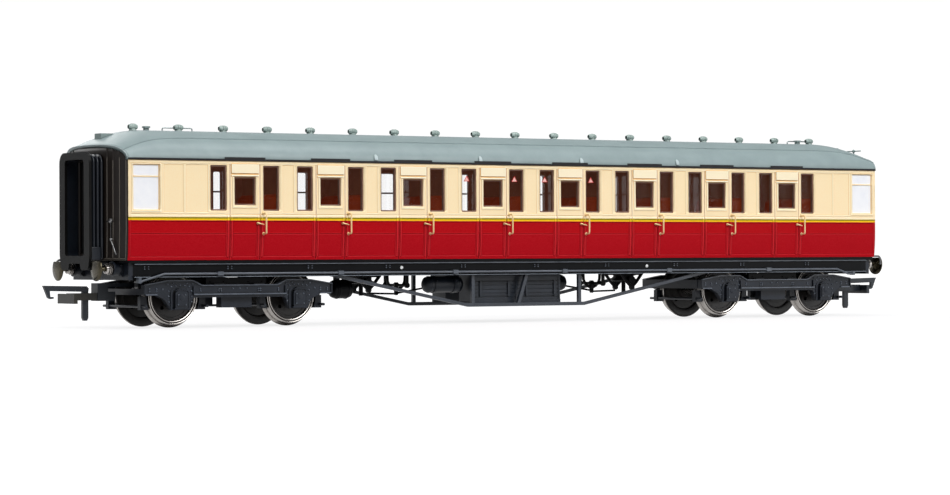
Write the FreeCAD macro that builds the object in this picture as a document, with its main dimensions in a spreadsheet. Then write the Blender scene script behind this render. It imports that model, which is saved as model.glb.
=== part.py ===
import FreeCAD, Part
import math
import os
import Sketcher

# Model of a 61 ft 6 in corridor coach, 4 mm to the foot.
# Frame: X along the coach, Y across it (the compartment side is -Y), Z up.
# The origin is on the rail-side plane under the middle of the coach, at the
# lowest point of the wheel flanges.

V = FreeCAD.Vector
document = FreeCAD.newDocument("model_passenger_coach")
sheet = document.addObject("Spreadsheet::Sheet", "Sizes")

SIZES = [
    ("corner_reach", 120.25, "coach middle to a body corner"),
    ("body_half_width", 18.0, "coach middle to the outside of a side"),
    ("bow_radius", 60.3, "plan radius of the bowed ends"),
    ("wall", 1.1, "thickness of the body sides and ends"),
    ("body_low", 17.1, "underside of the body"),
    ("cantrail", 42.2, "top of the body sides"),
    ("tuck_in", 0.5, "how far the sides curve in at the bottom"),
    ("tuck_start", 25.0, "height at which the sides start to curve in"),
    ("roof_spring", 42.5, "height at which the roof curve starts"),
    ("roof_rise", 7.8, "height of the roof curve at the middle"),
    ("roof_skin", 0.8, "roof thickness"),
    ("dome_start", 108.5, "coach middle to where the roof starts to fall"),
    ("dome_radius", 28.4, "side-view radius of the domed roof ends"),
    ("roof_overhang", 0.3, "roof beyond the end walls"),
    ("strip_offset", 13.0, "coach middle to the straight part of a rain strip"),
    ("strip_straight", 101.0, "coach middle to the end of the straight part"),
    ("strip_radius", 62.0, "plan radius of a rain strip's ends"),
    ("strip_width", 0.32, "rain strip width"),
    ("strip_proud", 0.22, "rain strip height above the roof"),
    ("gutter_depth", 0.3, "gutter beyond the side"),
    ("gutter_tall", 0.5, "gutter height"),
    ("drip_half_length", 5.75, "half length of the strip over a door"),
    ("drip_top", 43.15, "top of the strip over a door"),
    ("bay_pitch", 25.0, "one compartment to the next"),
    ("droplight_half", 3.1, "half width of a door window"),
    ("droplight_low", 31.0, "door window, bottom"),
    ("droplight_high", 38.2, "door window, top"),
    ("flank_near", 5.2, "door middle to the nearer edge of a side window"),
    ("flank_far", 9.9, "door middle to the further edge of a side window"),
    ("window_low", 29.6, "side windows, bottom"),
    ("window_high", 41.1, "side windows, top"),
    ("corridor_half", 7.0, "half width of a corridor window"),
    ("lavatory_near", 111.6, "coach middle to a lavatory window"),
    ("lavatory_far", 119.0, "coach middle to its further edge"),
    ("frame_line", 0.35, "visible width of a window frame"),
    ("frame_thick", 0.9, "thickness of a window frame"),
    ("frame_set_back", 0.18, "window frame behind the outside"),
    ("glass_thick", 0.45, "thickness of the glazing strips"),
    ("glass_reach", 98.8, "half length of the glazing strips"),
    ("glass_low", 28.9, "glazing strip, bottom"),
    ("glass_high", 41.8, "glazing strip, top"),
    ("hood_half", 3.9, "half width of a door ventilator hood"),
    ("hood_low", 39.1, "door ventilator hood, bottom"),
    ("hood_high", 41.4, "door ventilator hood, top"),
    ("hood_proud", 0.35, "door ventilator hood beyond the side"),
    ("rail_offset", 5.2, "door middle to its grab rail"),
    ("rail_low", 23.8, "grab rail, lower boss"),
    ("rail_high", 29.0, "grab rail, upper boss"),
    ("rail_proud", 1.75, "grab rail beyond the side"),
    ("rail_radius", 0.24, "grab rail radius"),
    ("lever_offset", 3.4, "door middle to the pivot of its lever"),
    ("lever_level", 26.4, "height of the door lever"),
    ("lever_length", 1.7, "length of the door lever"),
    ("floor_low", 16.4, "underside of the chassis floor"),
    ("floor_half_width", 17.2, "half width of the chassis floor"),
    ("ballast_top", 18.0, "top of the ballast plate"),
    ("inner_floor_top", 18.7, "top of the inside floor"),
    ("interior_half", 16.4, "half width of the inside moulding"),
    ("interior_reach", 101.0, "half length of the inside moulding"),
    ("partition_thick", 0.8, "thickness of the partitions"),
    ("partition_top", 41.6, "top of the partitions"),
    ("corridor_wall", 6.8, "coach middle to the corridor wall"),
    ("seat_depth", 7.2, "depth of a bench"),
    ("seat_rise", 5.6, "height of a bench above the floor"),
    ("seat_back", 16.2, "height of a seat back above the floor"),
    ("seat_back_thick", 2.0, "thickness of a seat back"),
    ("sole_low", 12.8, "solebar, bottom"),
    ("sole_web", 15.6, "coach middle to the inside of the solebar web"),
    ("sole_web_thick", 0.5, "solebar web"),
    ("sole_face", 16.7, "coach middle to the solebar flange edges"),
    ("sole_flange", 0.4, "solebar flange thickness"),
    ("headstock_face", 119.4, "coach middle to the outside of a headstock"),
    ("headstock_thick", 1.2, "headstock thickness"),
    ("headstock_low", 12.2, "headstock, bottom"),
    ("conduit_offset", 17.05, "coach middle to the pipe along the solebar"),
    ("conduit_level", 13.7, "height of that pipe"),
    ("conduit_radius", 0.28, "radius of that pipe"),
    ("clip_pitch", 35.15, "one pipe clip to the next"),
    ("buffer_offset", 11.33, "coach middle to a buffer"),
    ("buffer_level", 15.0, "height of the buffers"),
    ("buffer_face", 126.3, "coach middle to the buffer faces"),
    ("buffer_radius", 3.05, "buffer head radius"),
    ("buffer_flat", 1.9, "buffer centre to the flat on the head"),
    ("shank_radius", 0.6, "buffer shank radius"),
    ("shank_clearance", 0.08, "gap round the shank"),
    ("spring_room", 1.35, "radius of the space for the buffer spring"),
    ("truss_offset", 15.1, "coach middle to the middle of a truss"),
    ("truss_thick", 0.9, "truss bar thickness across the coach"),
    ("truss_low", 4.3, "bottom of the trusses"),
    ("truss_bar", 0.95, "truss bar depth"),
    ("truss_level_half", 18.7, "half length of the level part of a truss"),
    ("truss_reach", 58.0, "coach middle to the ends of a truss"),
    ("post_offset", 17.3, "coach middle to a truss post"),
    ("post_width", 0.95, "width of a truss post"),
    ("box_left", 16.0, "battery box, outer end"),
    ("box_right", 12.4, "battery box, inner end"),
    ("box_face", 13.3, "coach middle to the battery box doors"),
    ("box_depth", 7.0, "battery box, front to back"),
    ("box_low", 5.6, "battery box, bottom"),
    ("bogie_middle", 87.0, "coach middle to a bogie pivot"),
    ("half_wheelbase", 17.0, "bogie pivot to an axle"),
    ("axle_level", 7.7, "height of the axles"),
    ("axle_radius", 1.0, "axle radius"),
    ("cone_mouth", 0.95, "radius of a bearing's cone at its mouth"),
    ("cone_slope", 0.74, "loss of cone radius per mm"),
    ("cone_gap", 0.06, "gap between axle point and bearing"),
    ("flange_radius", 7.7, "wheel flange radius"),
    ("tread_radius", 7.0, "wheel tread radius"),
    ("back_half", 7.25, "half of the back-to-back distance"),
    ("flange_thick", 0.8, "flange thickness"),
    ("wheel_thick", 2.8, "wheel thickness with its flange"),
    ("side_inner", 12.2, "coach middle to the inside of a bogie side"),
    ("side_outer", 14.3, "coach middle to the outside of a bogie side"),
    ("side_reach", 27.1, "bogie pivot to the end of a bogie side"),
    ("side_crest", 12.1, "top of a bogie side over an axle"),
    ("side_top", 10.85, "top of a bogie side between the axles"),
    ("side_low", 7.65, "bottom of a bogie side between the axles"),
    ("guard_low", 4.45, "bottom of the axle guards"),
    ("guard_half", 2.9, "half width of an axle guard"),
    ("axlebox_half", 2.1, "half width of an axlebox"),
    ("axlebox_face", 15.3, "coach middle to an axlebox face"),
    ("bolster_top", 11.0, "top of the bogie bolster"),
    ("bolster_low", 8.6, "underside of the bogie bolster"),
    ("bogie_boss_top", 12.0, "top of the bogie's centre boss"),
    ("pivot_radius", 1.0, "bogie pivot screw radius"),
    ("pivot_clearance", 0.08, "gap round a pivot"),
    ("shoe_gap", 0.45, "gap between a brake shoe and a wheel tread"),
    ("rod_radius", 0.35, "brake rod radius"),
    ("rod_level", 5.5, "height of the brake rods"),
    ("arm_pivot", 109.0, "coach middle to the pivot of a coupling arm"),
    ("arm_pin_radius", 0.8, "radius of a coupling arm's pivot screw"),
    ("arm_low", 10.4, "underside of a coupling arm"),
    ("arm_high", 11.4, "top of a coupling arm"),
    ("pocket_face", 121.1, "coach middle to the mouth of a coupling pocket"),
    ("pocket_inner", 116.2, "coach middle to the back of a coupling pocket"),
    ("pocket_half", 1.9, "half width of a coupling pocket"),
    ("pocket_low", 6.9, "underside of a coupling pocket"),
    ("pocket_high", 9.2, "top of a coupling pocket"),
    ("bar_face", 129.0, "coach middle to the front of a coupling bar"),
    ("bar_half", 4.9, "half width of a coupling bar"),
    ("hook_pivot", 123.75, "coach middle to the hook's pivot pin"),
    ("hook_pivot_level", 8.1, "height of the hook's pivot pin"),
    ("hook_tip", 135.3, "coach middle to the tip of a hook"),
    ("hook_half", 0.5, "half thickness of a hook"),
    ("gangway_face", 126.6, "coach middle to the gangway face plates"),
    ("gangway_half", 8.8, "half width of a gangway"),
    ("gangway_top", 44.4, "top of a gangway"),
    ("doorway_half", 5.6, "half width of the gangway opening"),
    ("doorway_low", 18.3, "gangway opening, bottom"),
    ("doorway_high", 42.5, "gangway opening, top"),
    ("plate_thick", 0.7, "gangway face plate thickness"),
    ("pleat_pitch", 1.1, "one gangway pleat to the next"),
    ("vent_pitch", 12.965, "one roof ventilator to the next"),
    ("vent_level", 51.2, "height of the roof ventilators"),
    ("vent_radius", 0.74, "radius of a roof ventilator"),
    ("vent_half_length", 1.3, "half length of a roof ventilator"),
]


class Measure:
    """A size that keeps its value and the formula that ties it to the sheet."""

    def __init__(self, value, text):
        self.value = value
        self.text = text

    def __add__(self, other):
        return joined(self, "+", other)

    def __radd__(self, other):
        return joined(other, "+", self)

    def __sub__(self, other):
        return joined(self, "-", other)

    def __rsub__(self, other):
        return joined(other, "-", self)

    def __mul__(self, other):
        return joined(self, "*", other)

    def __rmul__(self, other):
        return joined(other, "*", self)

    def __truediv__(self, other):
        return joined(self, "/", other)

    def __neg__(self):
        return joined(0, "-", self)


OPERATIONS = {
    "+": lambda a, b: a + b,
    "-": lambda a, b: a - b,
    "*": lambda a, b: a * b,
    "/": lambda a, b: a / b,
}


def measure(number):
    """Makes a plain number a Measure."""
    if isinstance(number, Measure):
        return number
    return Measure(float(number), f"({number:.6f})")


def joined(left, sign, right):
    """Joins two measures with one of the four operations."""
    left = measure(left)
    right = measure(right)
    return Measure(OPERATIONS[sign](left.value, right.value), f"({left.text} {sign} {right.text})")


def root(item):
    """Square root of a measure."""
    return Measure(math.sqrt(item.value), f"sqrt({item.text})")


class Dimensions:
    """The sheet's cells by name."""


d = Dimensions()
for line, (alias, number, note) in enumerate(SIZES, start=1):
    sheet.set(f"A{line}", note)
    sheet.set(f"B{line}", str(number))
    sheet.setAlias(f"B{line}", alias)
    setattr(d, alias, Measure(float(number), f"Sizes.{alias}"))
document.recompute()

pieces = []


def piece(item, label):
    """Names a finished sub-part."""
    item.Label = label
    pieces.append(item)
    return item


def bind(item, prop, value):
    """Ties one property of an object to the sheet."""
    item.setExpression(prop, measure(value).text)


def stand(item, x, y, z):
    """Ties an object's position to the sheet."""
    bind(item, ".Placement.Base.x", x)
    bind(item, ".Placement.Base.y", y)
    bind(item, ".Placement.Base.z", z)
    return item


# ---------------------------------------------------------------- primitives

TURNED = {
    "X": FreeCAD.Rotation(V(0, 1, 0), 90),
    "Y": FreeCAD.Rotation(V(1, 0, 0), -90),
    "Z": FreeCAD.Rotation(),
}


def block(x_low, x_high, y_low, y_high, z_low, z_high):
    """A box between two corners."""
    item = document.addObject("Part::Box", "block")
    bind(item, "Length", measure(x_high) - x_low)
    bind(item, "Width", measure(y_high) - y_low)
    bind(item, "Height", measure(z_high) - z_low)
    return stand(item, x_low, y_low, z_low)


def rod(axis, x, y, z, radius, length):
    """A cylinder that runs from a point along an axis."""
    item = document.addObject("Part::Cylinder", "rod")
    item.Placement = FreeCAD.Placement(V(), TURNED[axis])
    bind(item, "Radius", radius)
    bind(item, "Height", length)
    return stand(item, x, y, z)


def fuse(*items):
    item = document.addObject("Part::MultiFuse", "fusion")
    item.Shapes = list(items)
    return item


def cut(base, *tools):
    item = document.addObject("Part::Cut", "cut")
    item.Base = base
    item.Tool = tools[0] if len(tools) == 1 else fuse(*tools)
    return item


def common(base, tool):
    item = document.addObject("Part::Common", "common")
    item.Base = base
    item.Tool = tool
    return item


def group(*items):
    """Separate solids that share a node."""
    item = document.addObject("Part::Compound", "group")
    item.Links = list(items)
    return item


def mirrored(source, normal):
    """The same thing on the other side of the coach's middle."""
    item = document.addObject("Part::Mirroring", "mirrored")
    item.Source = source
    item.Base = V()
    item.Normal = normal
    return item


ACROSS = V(0, 1, 0)
ALONG = V(1, 0, 0)


def both_sides(source):
    return group(source, mirrored(source, ACROSS))


def both_ends(source):
    return group(source, mirrored(source, ALONG))


def held_shape(shape):
    """A shape made with Part's functions from the sheet's sizes."""
    item = document.addObject("Part::Feature", "shape")
    item.Shape = shape
    return item


# ---------------------------------------------------------------- sketches

def plane(body, role):
    return next(item for item in body.Origin.OriginFeatures if item.Role == role)


def sketch_on(body, role, offset):
    """An empty sketch on one of the body's own planes."""
    sketch = body.newObject("Sketcher::SketchObject", "outline")
    sketch.AttachmentSupport = [(plane(body, role), "")]
    sketch.MapMode = "FlatFace"
    bind(sketch, ".AttachmentOffset.Base.z", offset)
    return sketch


def tie_corner(sketch, edge, corner):
    """Ties the start of an edge to the sheet."""
    for kind, value in (("DistanceX", corner[0]), ("DistanceY", corner[1])):
        value = measure(value)
        index = sketch.addConstraint(Sketcher.Constraint(kind, -1, 1, edge, 1, value.value))
        sketch.setExpression(f"Constraints[{index}]", value.text)


def draw(sketch, corners):
    """A closed outline of straight edges with every corner tied to the sheet."""
    points = [V(measure(a).value, measure(b).value, 0) for a, b in corners]
    first = sketch.GeometryCount
    count = len(points)
    for index in range(count):
        line = Part.LineSegment(points[index], points[(index + 1) % count])
        sketch.addGeometry(line, False)
    for index in range(count):
        following = first + (index + 1) % count
        sketch.addConstraint(Sketcher.Constraint("Coincident", first + index, 2, following, 1))
    for index, corner in enumerate(corners):
        tie_corner(sketch, first + index, corner)


def draw_rounded(sketch, a_low, a_high, b_low, b_high, radius):
    """A rectangle with round corners, tied to the sheet."""
    r = measure(radius)
    starts = [
        (a_low + r, b_low), (a_high - r, b_low), (a_high, b_low + r), (a_high, b_high - r),
        (a_high - r, b_high), (a_low + r, b_high), (a_low, b_high - r), (a_low, b_low + r),
    ]
    centres = [
        (a_high - r, b_low + r), (a_high - r, b_high - r), (a_low + r, b_high - r), (a_low + r, b_low + r),
    ]
    points = [V(measure(a).value, measure(b).value, 0) for a, b in starts]
    first = sketch.GeometryCount
    for side in range(4):
        begin = 2 * side
        sketch.addGeometry(Part.LineSegment(points[begin], points[begin + 1]), False)
        centre = V(measure(centres[side][0]).value, measure(centres[side][1]).value, 0)
        turn = math.radians(90 * (side - 1))
        circle = Part.Circle(centre, V(0, 0, 1), r.value)
        sketch.addGeometry(Part.ArcOfCircle(circle, turn, turn + math.radians(90)), False)
    for index in range(8):
        following = first + (index + 1) % 8
        sketch.addConstraint(Sketcher.Constraint("Coincident", first + index, 2, following, 1))
    for index, corner in enumerate(starts):
        tie_corner(sketch, first + index, corner)
    for side in range(4):
        arc = first + 2 * side + 1
        index = sketch.addConstraint(Sketcher.Constraint("Radius", arc, r.value))
        sketch.setExpression(f"Constraints[{index}]", r.text)


def new_body():
    return document.addObject("PartDesign::Body", "solid")


def pad(body, sketch, length, symmetric=True):
    feature = body.newObject("PartDesign::Pad", "pad")
    feature.Profile = sketch
    bind(feature, "Length", length)
    feature.Midplane = symmetric
    return body


def plate(corners, middle, thick):
    """A plate seen from the side: corners are (x, z), middle is its y."""
    body = new_body()
    sketch = sketch_on(body, "XZ_Plane", -measure(middle))
    draw(sketch, corners)
    return pad(body, sketch, thick)


def slab(a_low, a_high, z_low, z_high, radius, middle, thick):
    """A round-cornered slab seen from the end, with its middle at an x."""
    body = new_body()
    sketch = sketch_on(body, "YZ_Plane", middle)
    draw_rounded(sketch, measure(a_low), measure(a_high), measure(z_low), measure(z_high), radius)
    return pad(body, sketch, thick)


def turned(corners):
    """A turned piece: corners are (radius, place along the Y axis)."""
    body = new_body()
    sketch = sketch_on(body, "XY_Plane", 0)
    draw(sketch, corners)
    feature = body.newObject("PartDesign::Revolution", "turning")
    feature.Profile = sketch
    feature.ReferenceAxis = (sketch, ["V_Axis"])
    feature.Angle = 360
    return body


BOW_CENTRE = d.corner_reach - root(d.bow_radius * d.bow_radius - d.body_half_width * d.body_half_width)


def bowed_pad(half_width, radius, z_low, z_high):
    """A block with the body's plan: straight sides and bowed ends."""
    half_width = measure(half_width)
    radius = measure(radius)
    corner = BOW_CENTRE + root(radius * radius - half_width * half_width)
    body = new_body()
    sketch = sketch_on(body, "XY_Plane", z_low)
    w = half_width.value
    x = corner.value
    swing = math.asin(w / radius.value)
    right = Part.Circle(V(BOW_CENTRE.value, 0, 0), V(0, 0, 1), radius.value)
    left = Part.Circle(V(-BOW_CENTRE.value, 0, 0), V(0, 0, 1), radius.value)
    sketch.addGeometry(Part.LineSegment(V(-x, -w, 0), V(x, -w, 0)), False)
    sketch.addGeometry(Part.ArcOfCircle(right, -swing, swing), False)
    sketch.addGeometry(Part.LineSegment(V(x, w, 0), V(-x, w, 0)), False)
    sketch.addGeometry(Part.ArcOfCircle(left, math.pi - swing, math.pi + swing), False)
    for index in range(4):
        sketch.addConstraint(Sketcher.Constraint("Coincident", index, 2, (index + 1) % 4, 1))
    corners = [(-corner, -half_width), (corner, -half_width), (corner, half_width), (-corner, half_width)]
    for index, point in enumerate(corners):
        tie_corner(sketch, index, point)
    for arc in (1, 3):
        index = sketch.addConstraint(Sketcher.Constraint("Radius", arc, radius.value))
        sketch.setExpression(f"Constraints[{index}]", radius.text)
    return pad(body, sketch, measure(z_high) - z_low, symmetric=False)


def pipe_run(points, radius):
    """A round bar along straight runs, with ball joints at its bends."""
    shape = None
    for start, end in zip(points, points[1:]):
        run = Part.makeCylinder(radius, (end - start).Length, start, end - start)
        shape = run if shape is None else shape.fuse(run)
    for point in points[1:-1]:
        shape = shape.fuse(Part.makeSphere(radius, point))
    return shape


# ---------------------------------------------------------------- roof and body

BAYS = range(8)


def bay_middle(bay):
    """Middle of a compartment, counted from the -X end."""
    return d.bay_pitch * (bay - 3.5)


def roof_section(x, half_width, rise):
    """The outline of the roof across the coach at one place."""
    low = d.cantrail.value
    spring = d.roof_spring.value
    curve = Part.Ellipse(V(x, half_width, spring), V(x, 0, spring + rise), V(x, 0, spring))
    crown = Part.Arc(curve, 0, math.pi)
    if crown.value(0).y > 0:
        start, end = half_width, -half_width
    else:
        start, end = -half_width, half_width
    edges = [
        Part.LineSegment(V(x, start, low), crown.StartPoint).toShape(),
        crown.toShape(),
        Part.LineSegment(crown.EndPoint, V(x, end, low)).toShape(),
        Part.LineSegment(V(x, end, low), V(x, start, low)).toShape(),
    ]
    return Part.Wire(edges)


def roof_volume(inset):
    """All that lies under the roof, drawn in by an inset."""
    half_width = d.body_half_width.value - inset
    start = d.dome_start.value
    radius = d.dome_radius.value
    beyond = 124.6
    steps = 8
    full = d.roof_rise.value - inset
    volume = Part.Face(roof_section(-start, half_width, full)).extrude(V(2 * start, 0, 0))
    for way in (-1, 1):
        sections = []
        for step in range(steps + 1):
            run = (beyond - start) * step / steps
            drop = radius - math.sqrt(radius * radius - run * run)
            sections.append(roof_section(way * (start + run), half_width, full - drop))
        volume = volume.fuse(Part.makeLoft(sections, True, False))
    return volume


def body_envelope():
    """The body's section across the coach: sides that curve in at the bottom."""
    w = d.body_half_width.value
    low = d.body_low.value
    turn = d.tuck_start.value
    high = d.cantrail.value
    tuck = d.tuck_in.value
    x = -d.corner_reach.value - 4
    depth = turn - low
    radius = (depth * depth + tuck * tuck) / (2 * tuck)
    bend = math.asin(depth / radius) / 2
    middle = V(x, -w + radius * (1 - math.cos(bend)), turn - radius * math.sin(bend))
    left = Part.Arc(V(x, -w, turn), middle, V(x, -w + tuck, low))
    right = Part.Arc(V(x, w - tuck, low), V(x, -middle.y, middle.z), V(x, w, turn))
    edges = [
        Part.LineSegment(V(x, -w, high), V(x, -w, turn)).toShape(),
        left.toShape(),
        Part.LineSegment(V(x, -w + tuck, low), V(x, w - tuck, low)).toShape(),
        right.toShape(),
        Part.LineSegment(V(x, w, turn), V(x, w, high)).toShape(),
        Part.LineSegment(V(x, w, high), V(x, -w, high)).toShape(),
    ]
    return Part.Face(Part.Wire(edges)).extrude(V(-2 * x, 0, 0))


def window_blocks(grow, y_low, y_high, lavatories):
    """One block for each window, smaller or larger than its opening."""
    near = []
    far = []
    for bay in BAYS:
        middle = bay_middle(bay)
        low = d.droplight_low - grow
        high = d.droplight_high + grow
        reach = d.droplight_half + grow
        near.append(block(middle - reach, middle + reach, -y_high, -y_low, low, high))
        for side in (-1, 1):
            inner = middle + side * (d.flank_near - grow)
            outer = middle + side * (d.flank_far + grow)
            left, right = (inner, outer) if side > 0 else (outer, inner)
            near.append(block(left, right, -y_high, -y_low, d.window_low - grow, d.window_high + grow))
        if bay in (0, 2, 5, 7):
            far.append(block(middle - reach, middle + reach, y_low, y_high, low, high))
        if bay > 0:
            between = middle - d.bay_pitch / 2
            wide = d.corridor_half + grow
            bottom = d.window_low - grow
            far.append(block(between - wide, between + wide, y_low, y_high, bottom, d.window_high + grow))
    if lavatories:
        for way in (-1, 1):
            first = way * (d.lavatory_near - grow)
            last = way * (d.lavatory_far + grow)
            left, right = (first, last) if way > 0 else (last, first)
            for low, high in ((-y_high, -y_low), (y_low, y_high)):
                near.append(block(left, right, low, high, d.window_low - grow, d.window_high + grow))
    return near, far


roof_inner = held_shape(roof_volume(d.roof_skin.value))
roof_outer = held_shape(roof_volume(0))
envelope = held_shape(body_envelope().fuse(roof_volume(d.roof_skin.value)))

ABOVE = 52.5
outer_block = bowed_pad(d.body_half_width + 0.01, d.bow_radius, d.body_low, ABOVE)
cavity = bowed_pad(d.body_half_width - d.wall, d.bow_radius - d.wall, d.body_low - 1, d.cantrail)
crown_cavity = bowed_pad(d.body_half_width + 1, d.bow_radius - d.wall, d.cantrail, ABOVE)
openings_near, openings_far = window_blocks(0, d.body_half_width - 2, d.body_half_width + 1, True)
doorways = block(-130, 130, -d.doorway_half, d.doorway_half, d.doorway_low + 0.5, d.doorway_high - 0.5)
hoods = [
    block(
        bay_middle(bay) - d.hood_half, bay_middle(bay) + d.hood_half,
        -d.body_half_width - d.hood_proud, -d.body_half_width + 0.5, d.hood_low, d.hood_high,
    )
    for bay in BAYS
]
walls = cut(common(outer_block, envelope), cavity, crown_cavity, doorways, *openings_near, *openings_far)
piece(fuse(walls, *hoods), "body_shell")

roof_plan = bowed_pad(d.body_half_width + 1, d.bow_radius + d.roof_overhang, d.cantrail, ABOVE)
piece(common(cut(roof_outer, roof_inner), roof_plan), "roof_shell")


def rain_strip():
    """A raised strip that runs along the roof and turns out at its ends."""
    y = -d.strip_offset.value
    half = d.strip_width.value / 2
    straight = d.strip_straight.value
    radius = d.strip_radius.value
    swing = math.asin(23 / radius)

    def edge(y_line, r):
        centre_y = y_line - r
        tip = V(straight + r * math.sin(swing), centre_y + r * math.cos(swing), 0)
        mid = V(straight + r * math.sin(swing / 2), centre_y + r * math.cos(swing / 2), 0)
        return [V(-tip.x, tip.y, 0), V(-mid.x, mid.y, 0), V(-straight, y_line, 0),
                V(straight, y_line, 0), mid, tip]

    inner = edge(y + half, radius + half)
    outer = edge(y - half, radius - half)
    edges = []
    for line in (inner, outer):
        edges.append(Part.Arc(line[0], line[1], line[2]).toShape())
        edges.append(Part.LineSegment(line[2], line[3]).toShape())
        edges.append(Part.Arc(line[3], line[4], line[5]).toShape())
    edges.append(Part.LineSegment(inner[0], outer[0]).toShape())
    edges.append(Part.LineSegment(inner[5], outer[5]).toShape())
    face = Part.Face(Part.Wire(Part.__sortEdges__(edges)))
    face.translate(V(0, 0, d.cantrail.value))
    curtain = face.extrude(V(0, 0, d.roof_rise.value + 2))
    return curtain.common(roof_volume(-d.strip_proud.value))


strip_plan = bowed_pad(d.body_half_width + 1, d.bow_radius + d.roof_overhang, d.cantrail, ABOVE)
rain_strips = common(cut(held_shape(rain_strip()), roof_outer), strip_plan)
piece(both_sides(rain_strips), "roof_rain_strips")


def gutter():
    """The gutter along one side with the longer drip strips over the doors."""
    low = d.cantrail
    outer = -d.body_half_width - d.gutter_depth
    strip = block(-d.corner_reach, d.corner_reach, outer, -d.body_half_width, low, low + d.gutter_tall)
    drips = []
    for bay in BAYS:
        left = bay_middle(bay) - d.drip_half_length
        right = bay_middle(bay) + d.drip_half_length
        drips.append(block(left, right, outer, -d.body_half_width + 0.04, low + d.gutter_tall, d.drip_top))
    return cut(fuse(strip, *drips), roof_outer)


piece(both_sides(gutter()), "gutter_strips")

# ---------------------------------------------------------------- glazing

glass_outer = d.body_half_width - d.wall
glass_inner = glass_outer - d.glass_thick
near_glass = block(-d.glass_reach, d.glass_reach, -glass_outer, -glass_inner, d.glass_low, d.glass_high)
far_glass = block(-d.glass_reach, d.glass_reach, glass_inner, glass_outer, d.glass_low, d.glass_high)
piece(group(near_glass, far_glass), "glazing_strips")

frame_outer = d.body_half_width - d.frame_set_back
frame_inner = frame_outer - d.frame_thick
rims_near, rims_far = window_blocks(0, frame_inner, frame_outer, False)
sights_near, sights_far = window_blocks(-d.frame_line, frame_inner - 0.5, frame_outer + 0.5, False)
piece(cut(fuse(*rims_near, *rims_far), *sights_near, *sights_far), "window_frames")

PANE_BACK = 0.35
panes = []
for way in (-1, 1):
    near_x = d.lavatory_near if way > 0 else -d.lavatory_far
    far_x = d.lavatory_far if way > 0 else -d.lavatory_near
    pane = block(
        near_x, far_x, -d.body_half_width + PANE_BACK, -d.body_half_width + 2 * PANE_BACK,
        d.window_low, d.window_high,
    )
    panes.append(pane)
    panes.append(mirrored(pane, ACROSS))
piece(group(*panes), "lavatory_panes")

# ---------------------------------------------------------------- door furniture


def grab_rail(x):
    """A vertical rail on two bosses beside a door."""
    side = -d.body_half_width
    boss = d.rail_radius + 0.06
    bar = rod("Z", x, side - d.rail_proud, d.rail_low - 0.4, d.rail_radius, d.rail_high - d.rail_low + 0.8)
    low = rod("Y", x, side - d.rail_proud - 0.3, d.rail_low, boss, d.rail_proud + 0.45)
    high = rod("Y", x, side - d.rail_proud - 0.3, d.rail_high, boss, d.rail_proud + 0.3)
    return fuse(bar, low, high)


def door_lever(x):
    """A turned lever on a short spindle."""
    side = -d.body_half_width
    spindle = rod("Y", x, side - 0.6, d.lever_level, 0.3, 0.6)
    handle = block(x, x + d.lever_length, side - 0.9, side - 0.5, d.lever_level - 0.25, d.lever_level + 0.15)
    return fuse(spindle, handle)


furniture = []
for bay in BAYS:
    rail = grab_rail(bay_middle(bay) + d.rail_offset)
    lever = door_lever(bay_middle(bay) + d.lever_offset)
    furniture += [rail, lever]
    if bay in (0, 2, 5, 7):
        furniture += [mirrored(rail, ACROSS), mirrored(lever, ACROSS)]
piece(cut(group(*furniture), outer_block), "door_handles")

# ---------------------------------------------------------------- roof fittings

roof_top = d.roof_spring + d.roof_rise


def ventilator(x, foot):
    """A torpedo ventilator: a barrel with tapered ends and a collar, on a short stem."""
    straight = 0.7
    barrel = rod("X", x - straight, 0, d.vent_level, d.vent_radius, 2 * straight)
    tapers = []
    for way in (-1, 1):
        taper = document.addObject("Part::Cone", "taper")
        bind(taper, "Radius1", d.vent_radius)
        bind(taper, "Radius2", d.vent_radius * 0.55)
        bind(taper, "Height", d.vent_half_length - straight)
        taper.Placement = FreeCAD.Placement(V(), FreeCAD.Rotation(V(0, 1, 0), 90 * way))
        tapers.append(stand(taper, x + way * straight, 0, d.vent_level))
    collar = rod("X", x - 0.28, 0, d.vent_level, d.vent_radius + 0.1, 0.56)
    stem = rod("Z", x, 0, foot, 0.45, d.vent_level - foot)
    return fuse(barrel, *tapers, collar, stem)


VENTS = 18
DOME_FALL = 0.03
vents = [ventilator(d.vent_pitch * (index - (VENTS - 1) / 2), roof_top) for index in range(1, VENTS - 1)]
for index in (0, VENTS - 1):
    vents.append(ventilator(d.vent_pitch * (index - (VENTS - 1) / 2), roof_top - DOME_FALL))
piece(group(*vents), "roof_ventilators")


def roof_rail(x_low, x_high):
    """A wire handrail across the middle of the roof."""
    y = 1.3
    foot = 49.9
    top = 51.15
    points = [V(x_low, y, foot), V(x_low, y, top), V(x_high, y, top), V(x_high, y, foot)]
    return held_shape(pipe_run(points, 0.2))


RAILS = ((-101.2, -92.6), (103.2, 111.9))
piece(cut(group(*[roof_rail(low, high) for low, high in RAILS]), roof_outer), "roof_handrails")

FILLERS = (-106.4, 105.9)
filler_boxes = [block(x - 0.85, x + 0.85, -0.8, 0.8, roof_top - 0.5, 51.5) for x in FILLERS]
steps = [block(-120.2, -116.4, -1.9, 1.9, 47, 49.35), block(116.4, 120.2, -1.9, 1.9, 47, 49.35)]
ALARM_X = 122.3
alarm_rod = rod("Y", ALARM_X, -9.2, 48.3, 0.18, 6.2)
alarm_stem = rod("Z", ALARM_X, -6, 46, 0.25, 2.3)
alarm_ball = document.addObject("Part::Sphere", "ball")
bind(alarm_ball, "Radius", 0.5)
stand(alarm_ball, ALARM_X, -6, 48.3)
alarm = fuse(alarm_rod, alarm_stem, alarm_ball)
piece(cut(group(*filler_boxes, *steps, alarm), roof_outer), "roof_fittings")


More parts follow.
